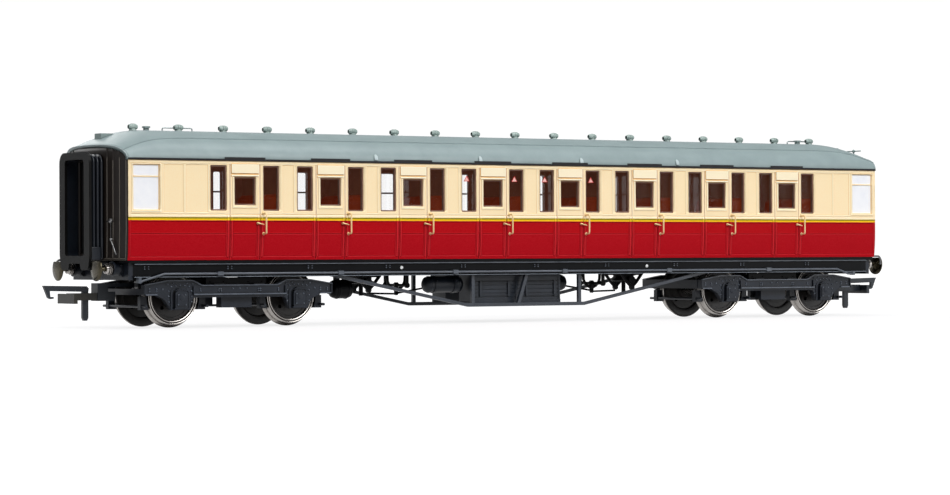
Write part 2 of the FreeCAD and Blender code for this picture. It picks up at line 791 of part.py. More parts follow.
def board_bracket(x):
    """A small hoop on the roof edge that once held a destination board."""
    y = -17.95
    points = [V(x - 0.45, y + 0.35, 43.2), V(x - 0.45, y, 44.5), V(x + 0.45, y, 44.5), V(x + 0.45, y + 0.35, 43.2)]
    return held_shape(pipe_run(points, 0.16))


BRACKETS = (-48.8, -16.4, 16.4, 48.8)
near_brackets = cut(group(*[board_bracket(x) for x in BRACKETS]), roof_outer)
piece(both_sides(near_brackets), "roof_board_brackets")

# ---------------------------------------------------------------- gangways and ends


def gangway_plate():
    """The face plate of a gangway: a frame with two feet."""
    face = d.gangway_face - d.plate_thick / 2
    frame_low = measure(17.2)
    frame = slab(-d.gangway_half, d.gangway_half, frame_low, d.gangway_top, 2.4, face, d.plate_thick)
    feet = [slab(3.4, 7.6, 14.7, 20.5, 1.2, face, d.plate_thick),
            slab(-7.6, -3.4, 14.7, 20.5, 1.2, face, d.plate_thick)]
    bridge = block(d.gangway_face - d.plate_thick, d.gangway_face, -6, 6, 16.2, 19)
    opening = slab(-d.doorway_half, d.doorway_half, d.doorway_low, d.doorway_high, 1, face, d.plate_thick * 3)
    return cut(fuse(frame, bridge, *feet), opening)


piece(both_ends(gangway_plate()), "gangway_face_plates")


def bellows():
    """The pleated tube between the face plate and the end wall."""
    front = d.gangway_face - d.plate_thick
    back = measure(121.9)
    low = measure(17.3)
    high = d.gangway_top - 0.5
    tube = slab(-d.gangway_half + 0.9, d.gangway_half - 0.9, low + 2.6, high - 0.8, 1.8,
                (front + back) / 2, front - back)
    rings = []
    for pleat in range(3):
        place = front - 0.75 - d.pleat_pitch * pleat
        rings.append(slab(-d.gangway_half + 0.15, d.gangway_half - 0.15, low + 2.2, high, 2.3, place, 0.5))
    buffing_block = block(front - 2.6, front, -d.gangway_half + 0.4, d.gangway_half - 0.4, 17.2, 20.6)
    passage = slab(-d.doorway_half - 0.3, d.doorway_half + 0.3, d.doorway_low - 0.2, d.doorway_high + 0.2, 1,
                   (front + back) / 2, 12)
    return cut(fuse(tube, buffing_block, *rings), passage, outer_block)


piece(both_ends(bellows()), "gangway_bellows")

door_leaf = block(121.4, 122.0, -d.doorway_half, d.doorway_half, d.doorway_low + 0.5, d.doorway_high - 0.5)
door_panels = [block(121.9, 122.15, 0.5, 3.6, low, high) for low, high in ((19.5, 27), (29, 40))]
door_knob = block(121.9, 122.6, -4.4, -3.2, 27, 28.7)
piece(both_ends(fuse(door_leaf, door_knob, *door_panels)), "end_doors")


def end_pipes():
    """Pipes and cocks on one end: the -X end's -Y side, and its +Y side."""
    bend = [V(-122.4, -12, 22.4), V(-122.3, -13.4, 21.7), V(-122.0, -14.4, 20.2), V(-121.7, -15.2, 18.6),
            V(-121.4, -16.2, 18.1)]
    shape = pipe_run(bend, 0.26)
    shape = shape.fuse(Part.makeCylinder(0.45, 1.3, V(-121.6, -12, 22.4), V(-1, 0, 0)))
    cock = Part.makeCylinder(0.5, 1.5, V(-121.6, -12, 27.0), V(-1, 0, 0))
    cock = cock.fuse(Part.makeCylinder(0.22, 2.2, V(-122.8, -13, 27.4), V(0, 1, -0.3)))
    elbow = pipe_run([V(-121.6, 15.2, 17.3), V(-124.6, 15.2, 17.3), V(-124.6, 15.2, 14.8)], 0.3)
    return group(held_shape(shape), held_shape(cock), held_shape(elbow))


first_end = cut(end_pipes(), outer_block)
second_end = mirrored(mirrored(first_end, ALONG), ACROSS)
piece(group(first_end, second_end), "end_pipes")

# ---------------------------------------------------------------- underframe

floor_plate = bowed_pad(d.floor_half_width, d.bow_radius - 0.6, d.floor_low, d.body_low)
bosses = []
bores = []
for way in (-1, 1):
    bogie_x = d.bogie_middle * way
    arm_x = d.arm_pivot * way
    bogie_bore = rod("Z", bogie_x, 0, 10, d.pivot_radius, 10)
    arm_bore = rod("Z", arm_x, 0, 10, d.arm_pin_radius, 10)
    bosses.append(cut(rod("Z", bogie_x, 0, 12.35, 3, d.floor_low - 12.35), bogie_bore))
    bosses.append(cut(rod("Z", arm_x, 0, 11.75, 2.2, d.floor_low - 11.75), arm_bore))
    bores += [bogie_bore, arm_bore]
SCREW_X = 66
screw_bores = [rod("Z", x, 0, 15, 0.7, 4) for x in (-SCREW_X, SCREW_X)]
notch = block(d.headstock_face, 124, d.buffer_offset - 2.4, d.buffer_offset + 2.4, 16, 18)
notches = [notch, mirrored(notch, ACROSS)]
notches += [mirrored(item, ALONG) for item in notches]
piece(group(cut(floor_plate, *bores, *screw_bores, *notches), *bosses), "chassis_floor")


def solebar():
    """One channel-section side member."""
    outer = -d.sole_face
    back = -d.sole_web
    face = -d.sole_web - d.sole_web_thick
    low = d.sole_low
    high = d.floor_low
    body = new_body()
    sketch = sketch_on(body, "YZ_Plane", 0)
    draw(sketch, [
        (back, low), (back, high), (outer, high), (outer, high - d.sole_flange),
        (face, high - d.sole_flange), (face, low + d.sole_flange), (outer, low + d.sole_flange), (outer, low),
    ])
    return pad(body, sketch, 2 * (d.headstock_face - d.headstock_thick))


piece(both_sides(solebar()), "solebars")


def headstock():
    """The -X end beam, with a bore for each buffer."""
    outer = -d.headstock_face
    inner = outer + d.headstock_thick
    beam = block(outer, inner, -d.sole_face + 0.6, d.sole_face - 0.6, d.headstock_low, d.floor_low)
    bore = rod("X", outer - 1, -d.buffer_offset, d.buffer_level, 0.8, 4)
    return cut(beam, bore, mirrored(bore, ACROSS))


piece(both_ends(headstock()), "headstocks")


def conduit():
    """The pipe along the compartment side's solebar, with its clips."""
    y = -d.conduit_offset.value
    z = d.conduit_level.value
    route = [V(-116.6, y, 11.8), V(-109.9, y, z), V(106.6, y, z), V(110.7, y, 12.3), V(112.7, y, 12.3)]
    shapes = [held_shape(pipe_run(route, d.conduit_radius.value))]
    clips = []
    for index in range(6):
        x = -94.2 + d.clip_pitch * index
        clips.append(block(x - 0.8, x + 0.8, -17.45, -16.1, 13.21, 14.2))
    feet = [block(-117.2, -116.4, -17.4, -15.9, 11.4, 12.8), block(112.3, 113.1, -17.4, -15.9, 11.9, 12.8)]
    return fuse(*shapes, *clips, *feet)


side_conduit = cut(conduit(), solebar())
piece(group(side_conduit, mirrored(mirrored(side_conduit, ACROSS), ALONG)), "solebar_pipes")


def truss():
    """One trussed side girder as separate bars: each is straight."""
    y = -d.truss_offset
    thick = d.truss_thick
    low = d.truss_low
    bar = d.truss_bar
    half = d.truss_level_half
    reach = d.truss_reach
    high = d.sole_low
    level = plate([(-half, low), (half, low), (half + 0.6, low + bar), (-half - 0.6, low + bar)], y, thick)
    slope = plate([
        (-half, low), (-half - 0.6, low + bar), (-reach + 1.2, high), (-reach - 3.2, high),
    ], y, thick)
    post = block(-d.post_offset - d.post_width / 2, -d.post_offset + d.post_width / 2,
                 y - thick / 2, y + thick / 2, low + bar, high)
    strut = plate([(-3.1, low + bar), (-2.1, low + bar), (0.45, high), (-0.55, high)], y, thick)
    return [level, slope, mirrored(slope, ALONG), post, mirrored(post, ALONG), strut]


near_truss = truss()
far_truss = [mirrored(mirrored(bar, ACROSS), ALONG) for bar in near_truss]
piece(group(*near_truss, *far_truss), "side_trusses")


def battery_box():
    """The compartment side's battery box: two compartments with plank doors."""
    front = -d.box_face
    back = front + d.box_depth
    case = block(-d.box_left, d.box_right, front, back, d.box_low, d.floor_low)
    doors = []
    for low, high in ((-15.3, -4.6), (-0.6, 10.9)):
        doors.append(block(low, high, front - 0.25, front + 0.1, d.box_low + 0.5, d.sole_low - 0.4))
    return fuse(case, *doors)


near_box = battery_box()
piece(group(near_box, mirrored(mirrored(near_box, ACROSS), ALONG)), "battery_boxes")


def reservoir():
    """A round-ended vacuum reservoir on two straps."""
    y = -9
    z = 10.3
    radius = 2.25
    left = -29
    right = -17
    drum = rod("X", left + 0.9, y, z, radius, right - left - 1.8)
    ends = []
    for x in (left + 0.9, right - 0.9):
        dome = document.addObject("Part::Ellipsoid", "dome")
        bind(dome, "Radius1", radius)
        bind(dome, "Radius2", 0.9)
        bind(dome, "Radius3", radius)
        stand(dome, x, y, z)
        ends.append(dome)
    straps = [block(x - 0.4, x + 0.4, y - 1.2, y + 1.2, z, d.floor_low) for x in (-26, -20)]
    return fuse(drum, *ends, *straps)


near_tank = reservoir()
piece(group(near_tank, mirrored(mirrored(near_tank, ACROSS), ALONG)), "vacuum_reservoirs")


def vacuum_cylinder():
    """A brake cylinder hung under the floor, with its piston rod below."""
    x = -43
    drum = rod("Z", x, 0, 9.6, 3.7, 3.6)
    cone = document.addObject("Part::Cone", "skirt")
    bind(cone, "Radius1", 1.2)
    bind(cone, "Radius2", 3.7)
    bind(cone, "Height", 1.4)
    stand(cone, x, 0, 8.2)
    piston = rod("Z", x, 0, 7.0, 0.6, 1.3)
    hangers = [block(x - 0.6, x + 0.6, y - 0.4, y + 0.4, 10.5, d.floor_low) for y in (-4, 4)]
    return fuse(drum, cone, piston, *hangers)


piece(both_ends(vacuum_cylinder()), "vacuum_cylinders")


def brake_linkage():
    """Cross shaft on V hangers, with its crank and links."""
    x = -32
    shaft_z = 10.1
    shaft = rod("Y", x, -6, shaft_z, 0.45, 12)
    legs = []
    for y in (-3.4, 3.4):
        for way in (-1, 1):
            top = x + way * 2.7
            legs.append(plate([
                (x + way * 0.1, shaft_z - 0.75), (x + way * 0.9, shaft_z - 0.3),
                (top + way * 0.4, d.floor_low), (top - way * 0.8, d.floor_low),
            ], y, 0.7))
    crank = plate([(x - 7.6, 7.4), (x - 6.8, 7.2), (x + 0.7, 9.6), (x + 0.3, 10.7)], 0, 0.8)
    link = plate([(x + 0.2, 9.7), (x + 0.6, 10.6), (x + 10.2, 6.9), (x + 9.8, 6.1)], -1.6, 0.7)
    return fuse(shaft, *legs, crank, link)


rear_linkage = mirrored(brake_linkage(), ALONG)
piece(group(brake_linkage(), rear_linkage), "brake_linkage")

dynamo_drum = rod("X", -55, -5, 8.6, 1.85, 5.8)
dynamo_hanger = block(-52.9, -51.3, -5.5, -4.5, 9, d.floor_low)
dynamo_pulley = rod("X", -55.4, -5, 8.6, 1.1, 6.6)
piece(fuse(dynamo_drum, dynamo_hanger, dynamo_pulley), "dynamo")

# ---------------------------------------------------------------- inside

ballast = block(-96, 96, -12, 12, d.body_low, d.ballast_top)
ballast_holes = []
for way in (-1, 1):
    ballast_holes.append(rod("Z", d.bogie_middle * way, 0, 17, 1.4, 2))
    ballast_holes.append(rod("Z", SCREW_X * way, 0, 17, 0.7, 2))
piece(cut(ballast, *ballast_holes), "ballast_plate")


def inside_moulding():
    """Floor, compartment partitions and corridor wall in one moulding."""
    half = d.interior_half
    reach = d.interior_reach
    top = d.partition_top
    floor = block(-reach, reach, -half, half, d.ballast_top, d.inner_floor_top)
    walls = []
    for index in range(9):
        x = d.bay_pitch * (index - 4)
        thick = d.partition_thick / 2
        walls.append(block(x - thick, x + thick, -half, d.corridor_wall, d.ballast_top, top))
    corridor = block(-100.4, 100.4, d.corridor_wall - 0.6, d.corridor_wall, d.ballast_top, top)
    lights = []
    for bay in BAYS:
        for offset, wide in ((-7.6, 2.8), (0, 3.2), (7.6, 2.8)):
            middle = bay_middle(bay) + offset
            lights.append(block(middle - wide, middle + wide, 4, 9, 27.5, 40.2))
    return fuse(floor, cut(corridor, *lights), *walls)


screw_pockets = [rod("Z", SCREW_X * way, 0, 17.5, 0.7, 0.8) for way in (-1, 1)]
piece(cut(inside_moulding(), *screw_pockets), "inside_moulding")


def bench(x, way):
    """A bench seat with its back against a partition."""
    base = d.inner_floor_top
    foot = x + way * d.partition_thick / 2
    return plate([
        (foot, base), (foot + way * d.seat_depth, base),
        (foot + way * d.seat_depth, base + d.seat_rise - 0.5),
        (foot + way * (d.seat_back_thick + 0.5), base + d.seat_rise),
        (foot + way * d.seat_back_thick * 0.7, base + d.seat_back),
        (foot, base + d.seat_back),
    ], -5.2, 21.6)


benches = []
for bay in BAYS:
    left_wall = bay_middle(bay) - d.bay_pitch / 2
    benches += [bench(left_wall, 1), bench(left_wall + d.bay_pitch, -1)]
piece(group(*benches), "bench_seats")

handrail_y = d.interior_half - 1.2
handrail = rod("X", -98, handrail_y, 35.2, 0.22, 196)
rail_posts = [rod("Y", x, handrail_y, 35.2, 0.18, glass_inner - handrail_y) for x in (-62.5, -12.5, 12.5, 62.5)]
piece(fuse(handrail, *rail_posts), "corridor_handrail")

# ---------------------------------------------------------------- fasteners


def headed_pin(x, radius, top, head_radius, head_low, head_high):
    shank = rod("Z", x, 0, head_high - 0.1, radius, top - head_high + 0.1)
    head = rod("Z", x, 0, head_low, head_radius, measure(head_high) - head_low)
    return fuse(shank, head)


pins = []
for way in (-1, 1):
    pins.append(headed_pin(d.bogie_middle * way, d.pivot_radius, 17.6, 2.1, 7.5, 8.3))
    pins.append(headed_pin(d.arm_pivot * way, d.arm_pin_radius, 17.0, 1.5, 9.4, 10.1))
piece(group(*pins), "pivot_screws")

body_screws = [headed_pin(SCREW_X * way, 0.7, 18.3, 1.5, 15.6, 16.4) for way in (-1, 1)]
piece(group(*body_screws), "body_screws")

# ---------------------------------------------------------------- buffers

SPRING_FRONT = 121.6
COLLAR_FRONT = SPRING_FRONT - 0.05
COLLAR_BACK = COLLAR_FRONT - 0.35


def along_x(body, x, y, z):
    """Turns a piece made round the Y axis so that it points to -X."""
    body.Placement = FreeCAD.Placement(V(), FreeCAD.Rotation(V(0, 0, 1), 90))
    return stand(body, x, y, z)


def buffer_housing(y):
    """A stepped, bored housing on a square flange."""
    face = d.headstock_face
    bore = d.shank_radius + d.shank_clearance
    room = d.spring_room
    body = turned([
        (room, face), (2.0, face), (2.0, face + 2.4), (1.5, face + 2.6), (1.5, face + 3.3),
        (1.25, face + 3.4), (1.25, face + 4.2), (bore, face + 4.2), (bore, SPRING_FRONT), (room, SPRING_FRONT),
    ])
    along_x(body, 0, y, d.buffer_level)
    flange = block(-face - 0.5, -face, y - 1.95, y + 1.95, d.buffer_level - 2.0, d.buffer_level + 1.35)
    hole = rod("X", -face - 1, y, d.buffer_level, 1.7, 2)
    return fuse(body, cut(flange, hole))


housings = [buffer_housing(y) for y in (-d.buffer_offset, d.buffer_offset)]
piece(group(*housings, *[mirrored(item, ALONG) for item in housings]), "buffer_housings")


def buffer_head(y):
    """A head with a flat on top, its shank and the collar the spring bears on."""
    face = d.buffer_face
    tail = measure(118.9)
    body = turned([
        (0, tail), (d.shank_radius, tail), (d.shank_radius, COLLAR_BACK),
        (1.2, COLLAR_BACK), (1.2, COLLAR_FRONT),
        (d.shank_radius, COLLAR_FRONT), (d.shank_radius, face - 1.2),
        (1.3, face - 0.75), (d.buffer_radius, face - 0.6), (d.buffer_radius, face - 0.25),
        (d.buffer_radius - 0.35, face), (0, face),
    ])
    along_x(body, 0, y, d.buffer_level)
    trim = block(-face - 1, -face + 2, y - 4, y + 4, d.buffer_level + d.buffer_flat, d.buffer_level + 5)
    return cut(body, trim)


def spring(y):
    """The coil behind a buffer's collar."""
    wire = 0.14
    mean = 0.98
    back = -d.headstock_face.value - wire - 0.02
    front = -COLLAR_BACK + wire + 0.02
    length = back - front
    coil = Part.makeLongHelix(length / 2.5, length, mean, 0, False)
    first = coil.Edges[0]
    start = first.valueAt(first.FirstParameter)
    circle = Part.Circle(start, first.tangentAt(first.FirstParameter), wire)
    section = Part.Wire(circle.toShape())
    shape = Part.Wire(coil.Edges).makePipeShell([section], True, True)
    shape.rotate(V(), V(0, 1, 0), 90)
    shape.translate(V(front, y, d.buffer_level.value))
    return held_shape(shape)


CORNERS = (("front_near", -1, -1), ("front_far", -1, 1), ("rear_near", 1, -1), ("rear_far", 1, 1))
springs = []
for label, end, side in CORNERS:
    head = buffer_head(d.buffer_offset * side)
    coil = spring(d.buffer_offset.value * side)
    if end > 0:
        head = mirrored(head, ALONG)
        coil = mirrored(coil, ALONG)
    piece(head, f"{label}_buffer")
    springs.append(coil)
piece(group(*springs), "buffer_springs")

# ---------------------------------------------------------------- bogies

AXLES = (-1, 1)


def bogie_side():
    """One side frame of the -X bogie, drawn round the coach's middle."""
    reach = d.side_reach
    wheelbase = d.half_wheelbase
    guard = d.guard_half

    def half_outline(way):
        """Top and bottom corners of one half, from its end to the middle."""
        axle = way * wheelbase
        top = [
            (way * reach, 11.05), (axle + way * 3.6, d.side_crest), (axle - way * 3.6, d.side_crest),
            (axle - way * 6.1, d.side_top),
        ]
        bottom = [
            (way * reach, 8.3), (axle + way * 6.6, 8.3), (axle + way * 4.4, 7.2),
            (axle + way * guard, 5.2), (axle + way * guard * 0.8, d.guard_low),
            (axle - way * guard * 0.8, d.guard_low), (axle - way * guard, 5.2), (axle - way * 3.7, d.side_low),
        ]
        return top, bottom

    left_top, left_bottom = half_outline(-1)
    right_top, right_bottom = half_outline(1)
    corners = left_top + right_top[::-1] + right_bottom + left_bottom[::-1]
    middle = (d.side_inner + d.side_outer) / 2
    web = plate(corners, -middle, d.side_outer - d.side_inner)
    ribs = []
    top_inner = wheelbase - 6.1
    ribs.append(block(-top_inner, top_inner, -d.side_outer - 0.4, -d.side_outer, d.side_top - 0.4, d.side_top))
    ribs.append(block(-13.3, 13.3, -d.side_outer - 0.45, -d.side_outer, d.side_low, d.side_low + 0.45))
    boxes = []
    bores = []
    for way in AXLES:
        x = wheelbase * way
        half = d.axlebox_half
        boxes.append(block(x - half, x + half, -d.axlebox_face, -d.side_outer, 5.1, 9.7))
        bores.append(rod("Y", x, -d.side_inner - 1.05, d.axle_level, 1.0, 2))
    return cut(fuse(web, *ribs, *boxes), *bores)


def moved(source, x, z=0):
    """The same thing, a distance along the coach and up."""
    item = document.addObject("Part::Compound", "moved")
    item.Links = [source]
    return stand(item, x, 0, z)


def bogie_frame():
    """Bolster, end beams and spring planks of a bogie round the coach's middle."""
    inner = d.side_inner
    bolster = block(-5, 5, -inner, inner, d.bolster_low, d.bolster_top)
    boss = rod("Z", 0, 0, d.bolster_top - 0.5, 3.1, d.bogie_boss_top - d.bolster_top + 0.5)
    outer_beam = block(-26.8, -25.4, -inner, inner, 8.4, 9.9)
    inner_beam = block(25.8, 27.2, -inner, inner, 8.4, d.side_top)
    planks = []
    for side in (-1, 1):
        low, high = (-inner, -9.4) if side < 0 else (9.4, inner)
        planks.append(block(-4.4, 4.4, low, high, 5.0, d.bolster_low))
    bore = rod("Z", 0, 0, d.bolster_low - 2, d.pivot_radius + d.pivot_clearance, 8)
    return cut(fuse(bolster, boss, *planks), bore), outer_beam, inner_beam


def bearing(x):
    """A turned bearing cup with a cone inside, in the -Y side frame."""
    mouth = d.side_inner - 0.25
    floor = d.side_inner + 1.0
    depth = floor - mouth - 0.12
    tip = d.cone_mouth - d.cone_slope * depth
    body = turned([
        (d.cone_mouth, mouth), (1.5, mouth), (1.5, d.side_inner), (1.0, d.side_inner),
        (1.0, floor), (0, floor), (0, floor - 0.12), (tip, floor - 0.12),
    ])
    body.Placement = FreeCAD.Placement(V(), FreeCAD.Rotation(V(0, 0, 1), 180))
    return stand(body, x, 0, d.axle_level)


def brake_gear():
    """Shoes each side of every wheel, their hangers, cross rods and pull rods."""
    solids = []
    pulls = []
    shoe_inner = d.tread_radius + d.shoe_gap
    for axle in AXLES:
        x = d.half_wheelbase * axle
        for way in (-1, 1):
            cross_x = x + way * (d.flange_radius + 0.95)
            cross = rod("Y", cross_x, -d.side_inner, d.rod_level, d.rod_radius, 2 * d.side_inner)
            parts = [cross]
            for side in (-1, 1):
                y_low, y_high = (-10, -8.45) if side < 0 else (8.45, 10)
                near_x = x + way * 6.2
                far_x = cross_x + way * 0.5
                left, right = (near_x, far_x) if way > 0 else (far_x, near_x)
                shoe = block(left, right, y_low, y_high, 4.6, 7.9)
                wheel = rod("Y", x, -12, d.axle_level, shoe_inner, 24)
                hanger = block(cross_x - 0.35, cross_x + 0.35, y_low + 0.5, y_high - 0.5, d.rod_level, 8.2)
                parts += [cut(shoe, wheel), hanger]
            solids.append(fuse(*parts))
    reach = d.half_wheelbase + d.flange_radius + 0.95
    for y in (-2.6, 2.6):
        pulls.append(rod("X", -reach, y, d.rod_level - 0.1, 0.25, 2 * reach))
    return fuse(*solids, *pulls)


side = bogie_side()
other_side = mirrored(side, ACROSS)
frame_middle, outer_beam, inner_beam = bogie_frame()
cups = []
for way in AXLES:
    cup = bearing(d.half_wheelbase * way)
    cups += [cup, mirrored(cup, ACROSS)]
gear = brake_gear()


def wheel_pair():
    """A pair of wheels on one axle at the coach's middle."""
    hub = 1.9
    rim = 5.7
    back = d.back_half
    tread = back + d.flange_thick
    front = back + d.wheel_thick
    wheel = turned([
        (d.axle_radius, back + 0.1), (hub, back + 0.1), (hub + 0.3, back + 0.6), (rim - 0.3, back + 0.6),
        (rim, back), (d.flange_radius - 0.5, back), (d.flange_radius, back + 0.3),
        (d.flange_radius - 0.1, back + 0.6), (d.tread_radius + 0.12, tread), (d.tread_radius, tread + 0.3),
        (d.tread_radius - 0.06, front - 0.15), (d.tread_radius - 0.25, front), (rim + 0.15, front),
        (rim - 0.1, front - 0.9), (hub + 0.2, front - 1.1), (hub, front - 0.4), (d.axle_radius, front - 0.4),
    ])
    holes = []
    for index in range(4):
        angle = math.radians(45 + 90 * index)
        hole = rod("Y", 3.8 * math.cos(angle), back - 1, 3.8 * math.sin(angle), 0.5, 5)
        holes.append(hole)
    near = cut(wheel, *holes)
    return group(near, mirrored(near, ACROSS))


def axle():
    """A turned axle with a point at each end."""
    mouth = d.side_inner - 0.25
    shoulder = mouth + (d.cone_mouth - d.cone_gap - 0.75) / d.cone_slope
    tip = mouth + (d.cone_mouth - d.cone_gap - 0.07) / d.cone_slope
    seat = d.back_half + d.wheel_thick
    corners = [
        (0, -tip), (0.07, -tip), (0.75, -shoulder), (0.75, -seat - 0.3), (d.axle_radius, -seat),
        (d.axle_radius, seat), (0.75, seat + 0.3), (0.75, shoulder), (0.07, tip), (0, tip),
    ]
    return turned(corners)


pair_pattern = wheel_pair()
axle_pattern = axle()

for label, way in (("front", -1), ("rear", 1)):
    def at_bogie(source):
        put = moved(source, -d.bogie_middle)
        return put if way < 0 else mirrored(put, ALONG)

    piece(at_bogie(group(frame_middle, outer_beam, inner_beam)), f"{label}_bogie_frame")
    piece(at_bogie(group(side, other_side)), f"{label}_bogie_sides")
    piece(at_bogie(group(*cups)), f"{label}_axle_bearings")
    piece(at_bogie(gear), f"{label}_brake_gear")
    for place, offset in (("outer", 1), ("inner", -1)):
        x = way * (d.bogie_middle + offset * d.half_wheelbase)
        piece(moved(axle_pattern, x, d.axle_level), f"{label}_{place}_axle")
        piece(moved(pair_pattern, x, d.axle_level), f"{label}_{place}_wheels")

# ---------------------------------------------------------------- couplings


def coupling_arm():
    """The swinging arm under the floor with its coupling pocket."""
    pivot = -d.arm_pivot
    tongue = block(-d.pocket_face, pivot, -1.4, 1.4, d.arm_low, d.arm_high)
    eye = rod("Z", pivot, 0, d.arm_low, 2.1, d.arm_high - d.arm_low)
    drop = block(-d.pocket_face, -118.2, -d.pocket_half, d.pocket_half, d.pocket_low, d.arm_high)
    pocket = block(-d.pocket_face, -d.pocket_inner, -d.pocket_half, d.pocket_half, d.pocket_low, d.pocket_high)
    bore = rod("Z", pivot, 0, d.arm_low - 1, d.arm_pin_radius + d.pivot_clearance, 4)
    socket = block(-d.pocket_face - 1, -d.pocket_inner - 0.8, -1.3, 1.3, 7.4, 8.7)
    return cut(fuse(tongue, eye, drop, pocket), bore, socket)


def coupling_head():
    """Tail, forked stem, bumper bar and the pin that the hook turns on."""
    tail = block(-122, -d.pocket_inner - 1.1, -1.2, 1.2, 7.5, 8.6)
    stem = block(-122.2, -d.pocket_face - 0.1, -1.75, 1.75, 7.1, 8.9)
    near_cheek = block(-128.1, -122.1, -1.75, -0.8, 7.1, 8.9)
    bar = block(-d.bar_face, -d.bar_face + 1, -d.bar_half, d.bar_half, 6.3, 8.8)
    pin = rod("Y", -d.hook_pivot, -1.6, d.hook_pivot_level, 0.35, 3.2)
    return fuse(tail, stem, near_cheek, mirrored(near_cheek, ACROSS), bar, pin)


def coupling_hook():
    """Hook arm, hook nose and drop tail in one plate."""
    tip = -d.hook_tip
    outline = plate([
        (tip, 10.9), (tip + 1.3, 7.85), (tip + 1.9, 7.5), (tip + 2.8, 7.6), (tip + 2.8, 8.05),
        (tip + 1.9, 8.05), (tip + 1.75, 9.5), (-124.55, 9.25), (-124.55, 2.7), (-124.2, 1.95),
        (-123.35, 1.95), (-123.0, 2.7), (-123.0, 9.1), (-122.85, 10.1), (-123.4, 10.65),
    ], 0, 2 * d.hook_half)
    bore = rod("Y", -d.hook_pivot, -2, d.hook_pivot_level, 0.42, 4)
    return cut(outline, bore)


arm = coupling_arm()
head = coupling_head()
hook = coupling_hook()
for label, way in (("front", -1), ("rear", 1)):
    for name, item in (("arm", arm), ("head", head), ("hook", hook)):
        # The first end is the pattern and the second its mirror image.
        end_item = group(item) if way < 0 else mirrored(item, ALONG)
        piece(end_item, f"{label}_coupling_{name}")

# ---------------------------------------------------------------- writing

document.recompute()
for item in document.Objects:
    if "Invalid" in item.State or "Error" in item.State:
        raise SystemExit(f"{item.Name} ({item.Label}) failed: {item.State}")
for item in pieces:
    if item.Shape.isNull() or not item.Shape.isValid() or not item.Shape.Solids:
        raise SystemExit(f"{item.Label} has no valid shape")

os.makedirs("parts", exist_ok=True)
for item in pieces:
    item.Shape.exportStep(f"parts/{item.Label}.step")
print(len(pieces), "sub-parts written")
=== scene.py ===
from math import atan2, cos, pi, radians, sin, sqrt, tan

import bmesh
import bpy
from mathutils import Matrix, Vector


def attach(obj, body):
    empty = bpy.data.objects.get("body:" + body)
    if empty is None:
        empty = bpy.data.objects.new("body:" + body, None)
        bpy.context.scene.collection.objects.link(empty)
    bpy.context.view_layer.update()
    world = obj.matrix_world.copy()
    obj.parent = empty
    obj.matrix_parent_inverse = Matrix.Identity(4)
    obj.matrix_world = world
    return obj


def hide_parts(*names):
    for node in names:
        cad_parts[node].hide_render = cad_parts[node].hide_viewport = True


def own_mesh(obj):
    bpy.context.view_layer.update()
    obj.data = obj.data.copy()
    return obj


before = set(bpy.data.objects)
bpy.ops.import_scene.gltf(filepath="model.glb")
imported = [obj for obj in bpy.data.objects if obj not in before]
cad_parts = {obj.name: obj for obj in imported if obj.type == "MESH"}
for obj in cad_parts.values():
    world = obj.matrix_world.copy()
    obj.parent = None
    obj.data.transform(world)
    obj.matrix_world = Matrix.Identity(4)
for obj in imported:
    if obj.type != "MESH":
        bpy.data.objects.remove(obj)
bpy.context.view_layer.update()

# Shapes are drawn in millimetres in the coach's own frame and scaled when a piece is made.
MM = 0.001
HALF_WIDTH = 18
BODY_LOW = 17.1
CANTRAIL = 42.2
SPRING = 42.5
RISE = 7.8
SKIN = 0.8
DOME_START = 108.5
DOME_RADIUS = 28.4
BOW = 60.3
CORNER = 120.25
BOW_CENTRE = CORNER - sqrt(BOW**2 - HALF_WIDTH**2)
BAY = 25
BAYS = [BAY * (i - 3.5) for i in range(8)]
PARTITIONS = [BAY * (i - 4) for i in range(9)]
FAR_DOORS = [BAYS[i] for i in (0, 2, 5, 7)]
FAR_LIGHTS = [BAY * i for i in range(-3, 4)]
WINDOW = (29.6, 41.1)
WINDOW_RADIUS = 0.28
DROPLIGHT = (31, 38.2)
LAVATORIES = ((-119, -111.6, *WINDOW), (111.6, 119, *WINDOW))
BUFFER_Y, BUFFER_Z = 11.33, 15
BOGIE_X, AXLE_X, AXLE_Z = 87, 17, 7.7
ENDS = (("front", -1), ("rear", 1))
SIDES = (("near", -1), ("far", 1))
SIGNS = (-1, 1)

# Shapes

X, Y, Z = Vector((1, 0, 0)), Vector((0, 1, 0)), Vector((0, 0, 1))
AXES = {"X": (X, Y, Z), "Y": (Y, Z, X), "Z": (Z, X, Y)}
BOX_FACES = ((0, 1, 3, 2), (4, 6, 7, 5), (0, 4, 5, 1), (2, 3, 7, 6), (0, 2, 6, 4), (1, 5, 7, 3))


def circle(centre, a, b, radius, sides):
    """Points around a centre, in the plane of two unit vectors."""
    turns = (2 * pi * k / sides for k in range(sides))
    return [centre + (a * cos(t) + b * sin(t)) * radius for t in turns]


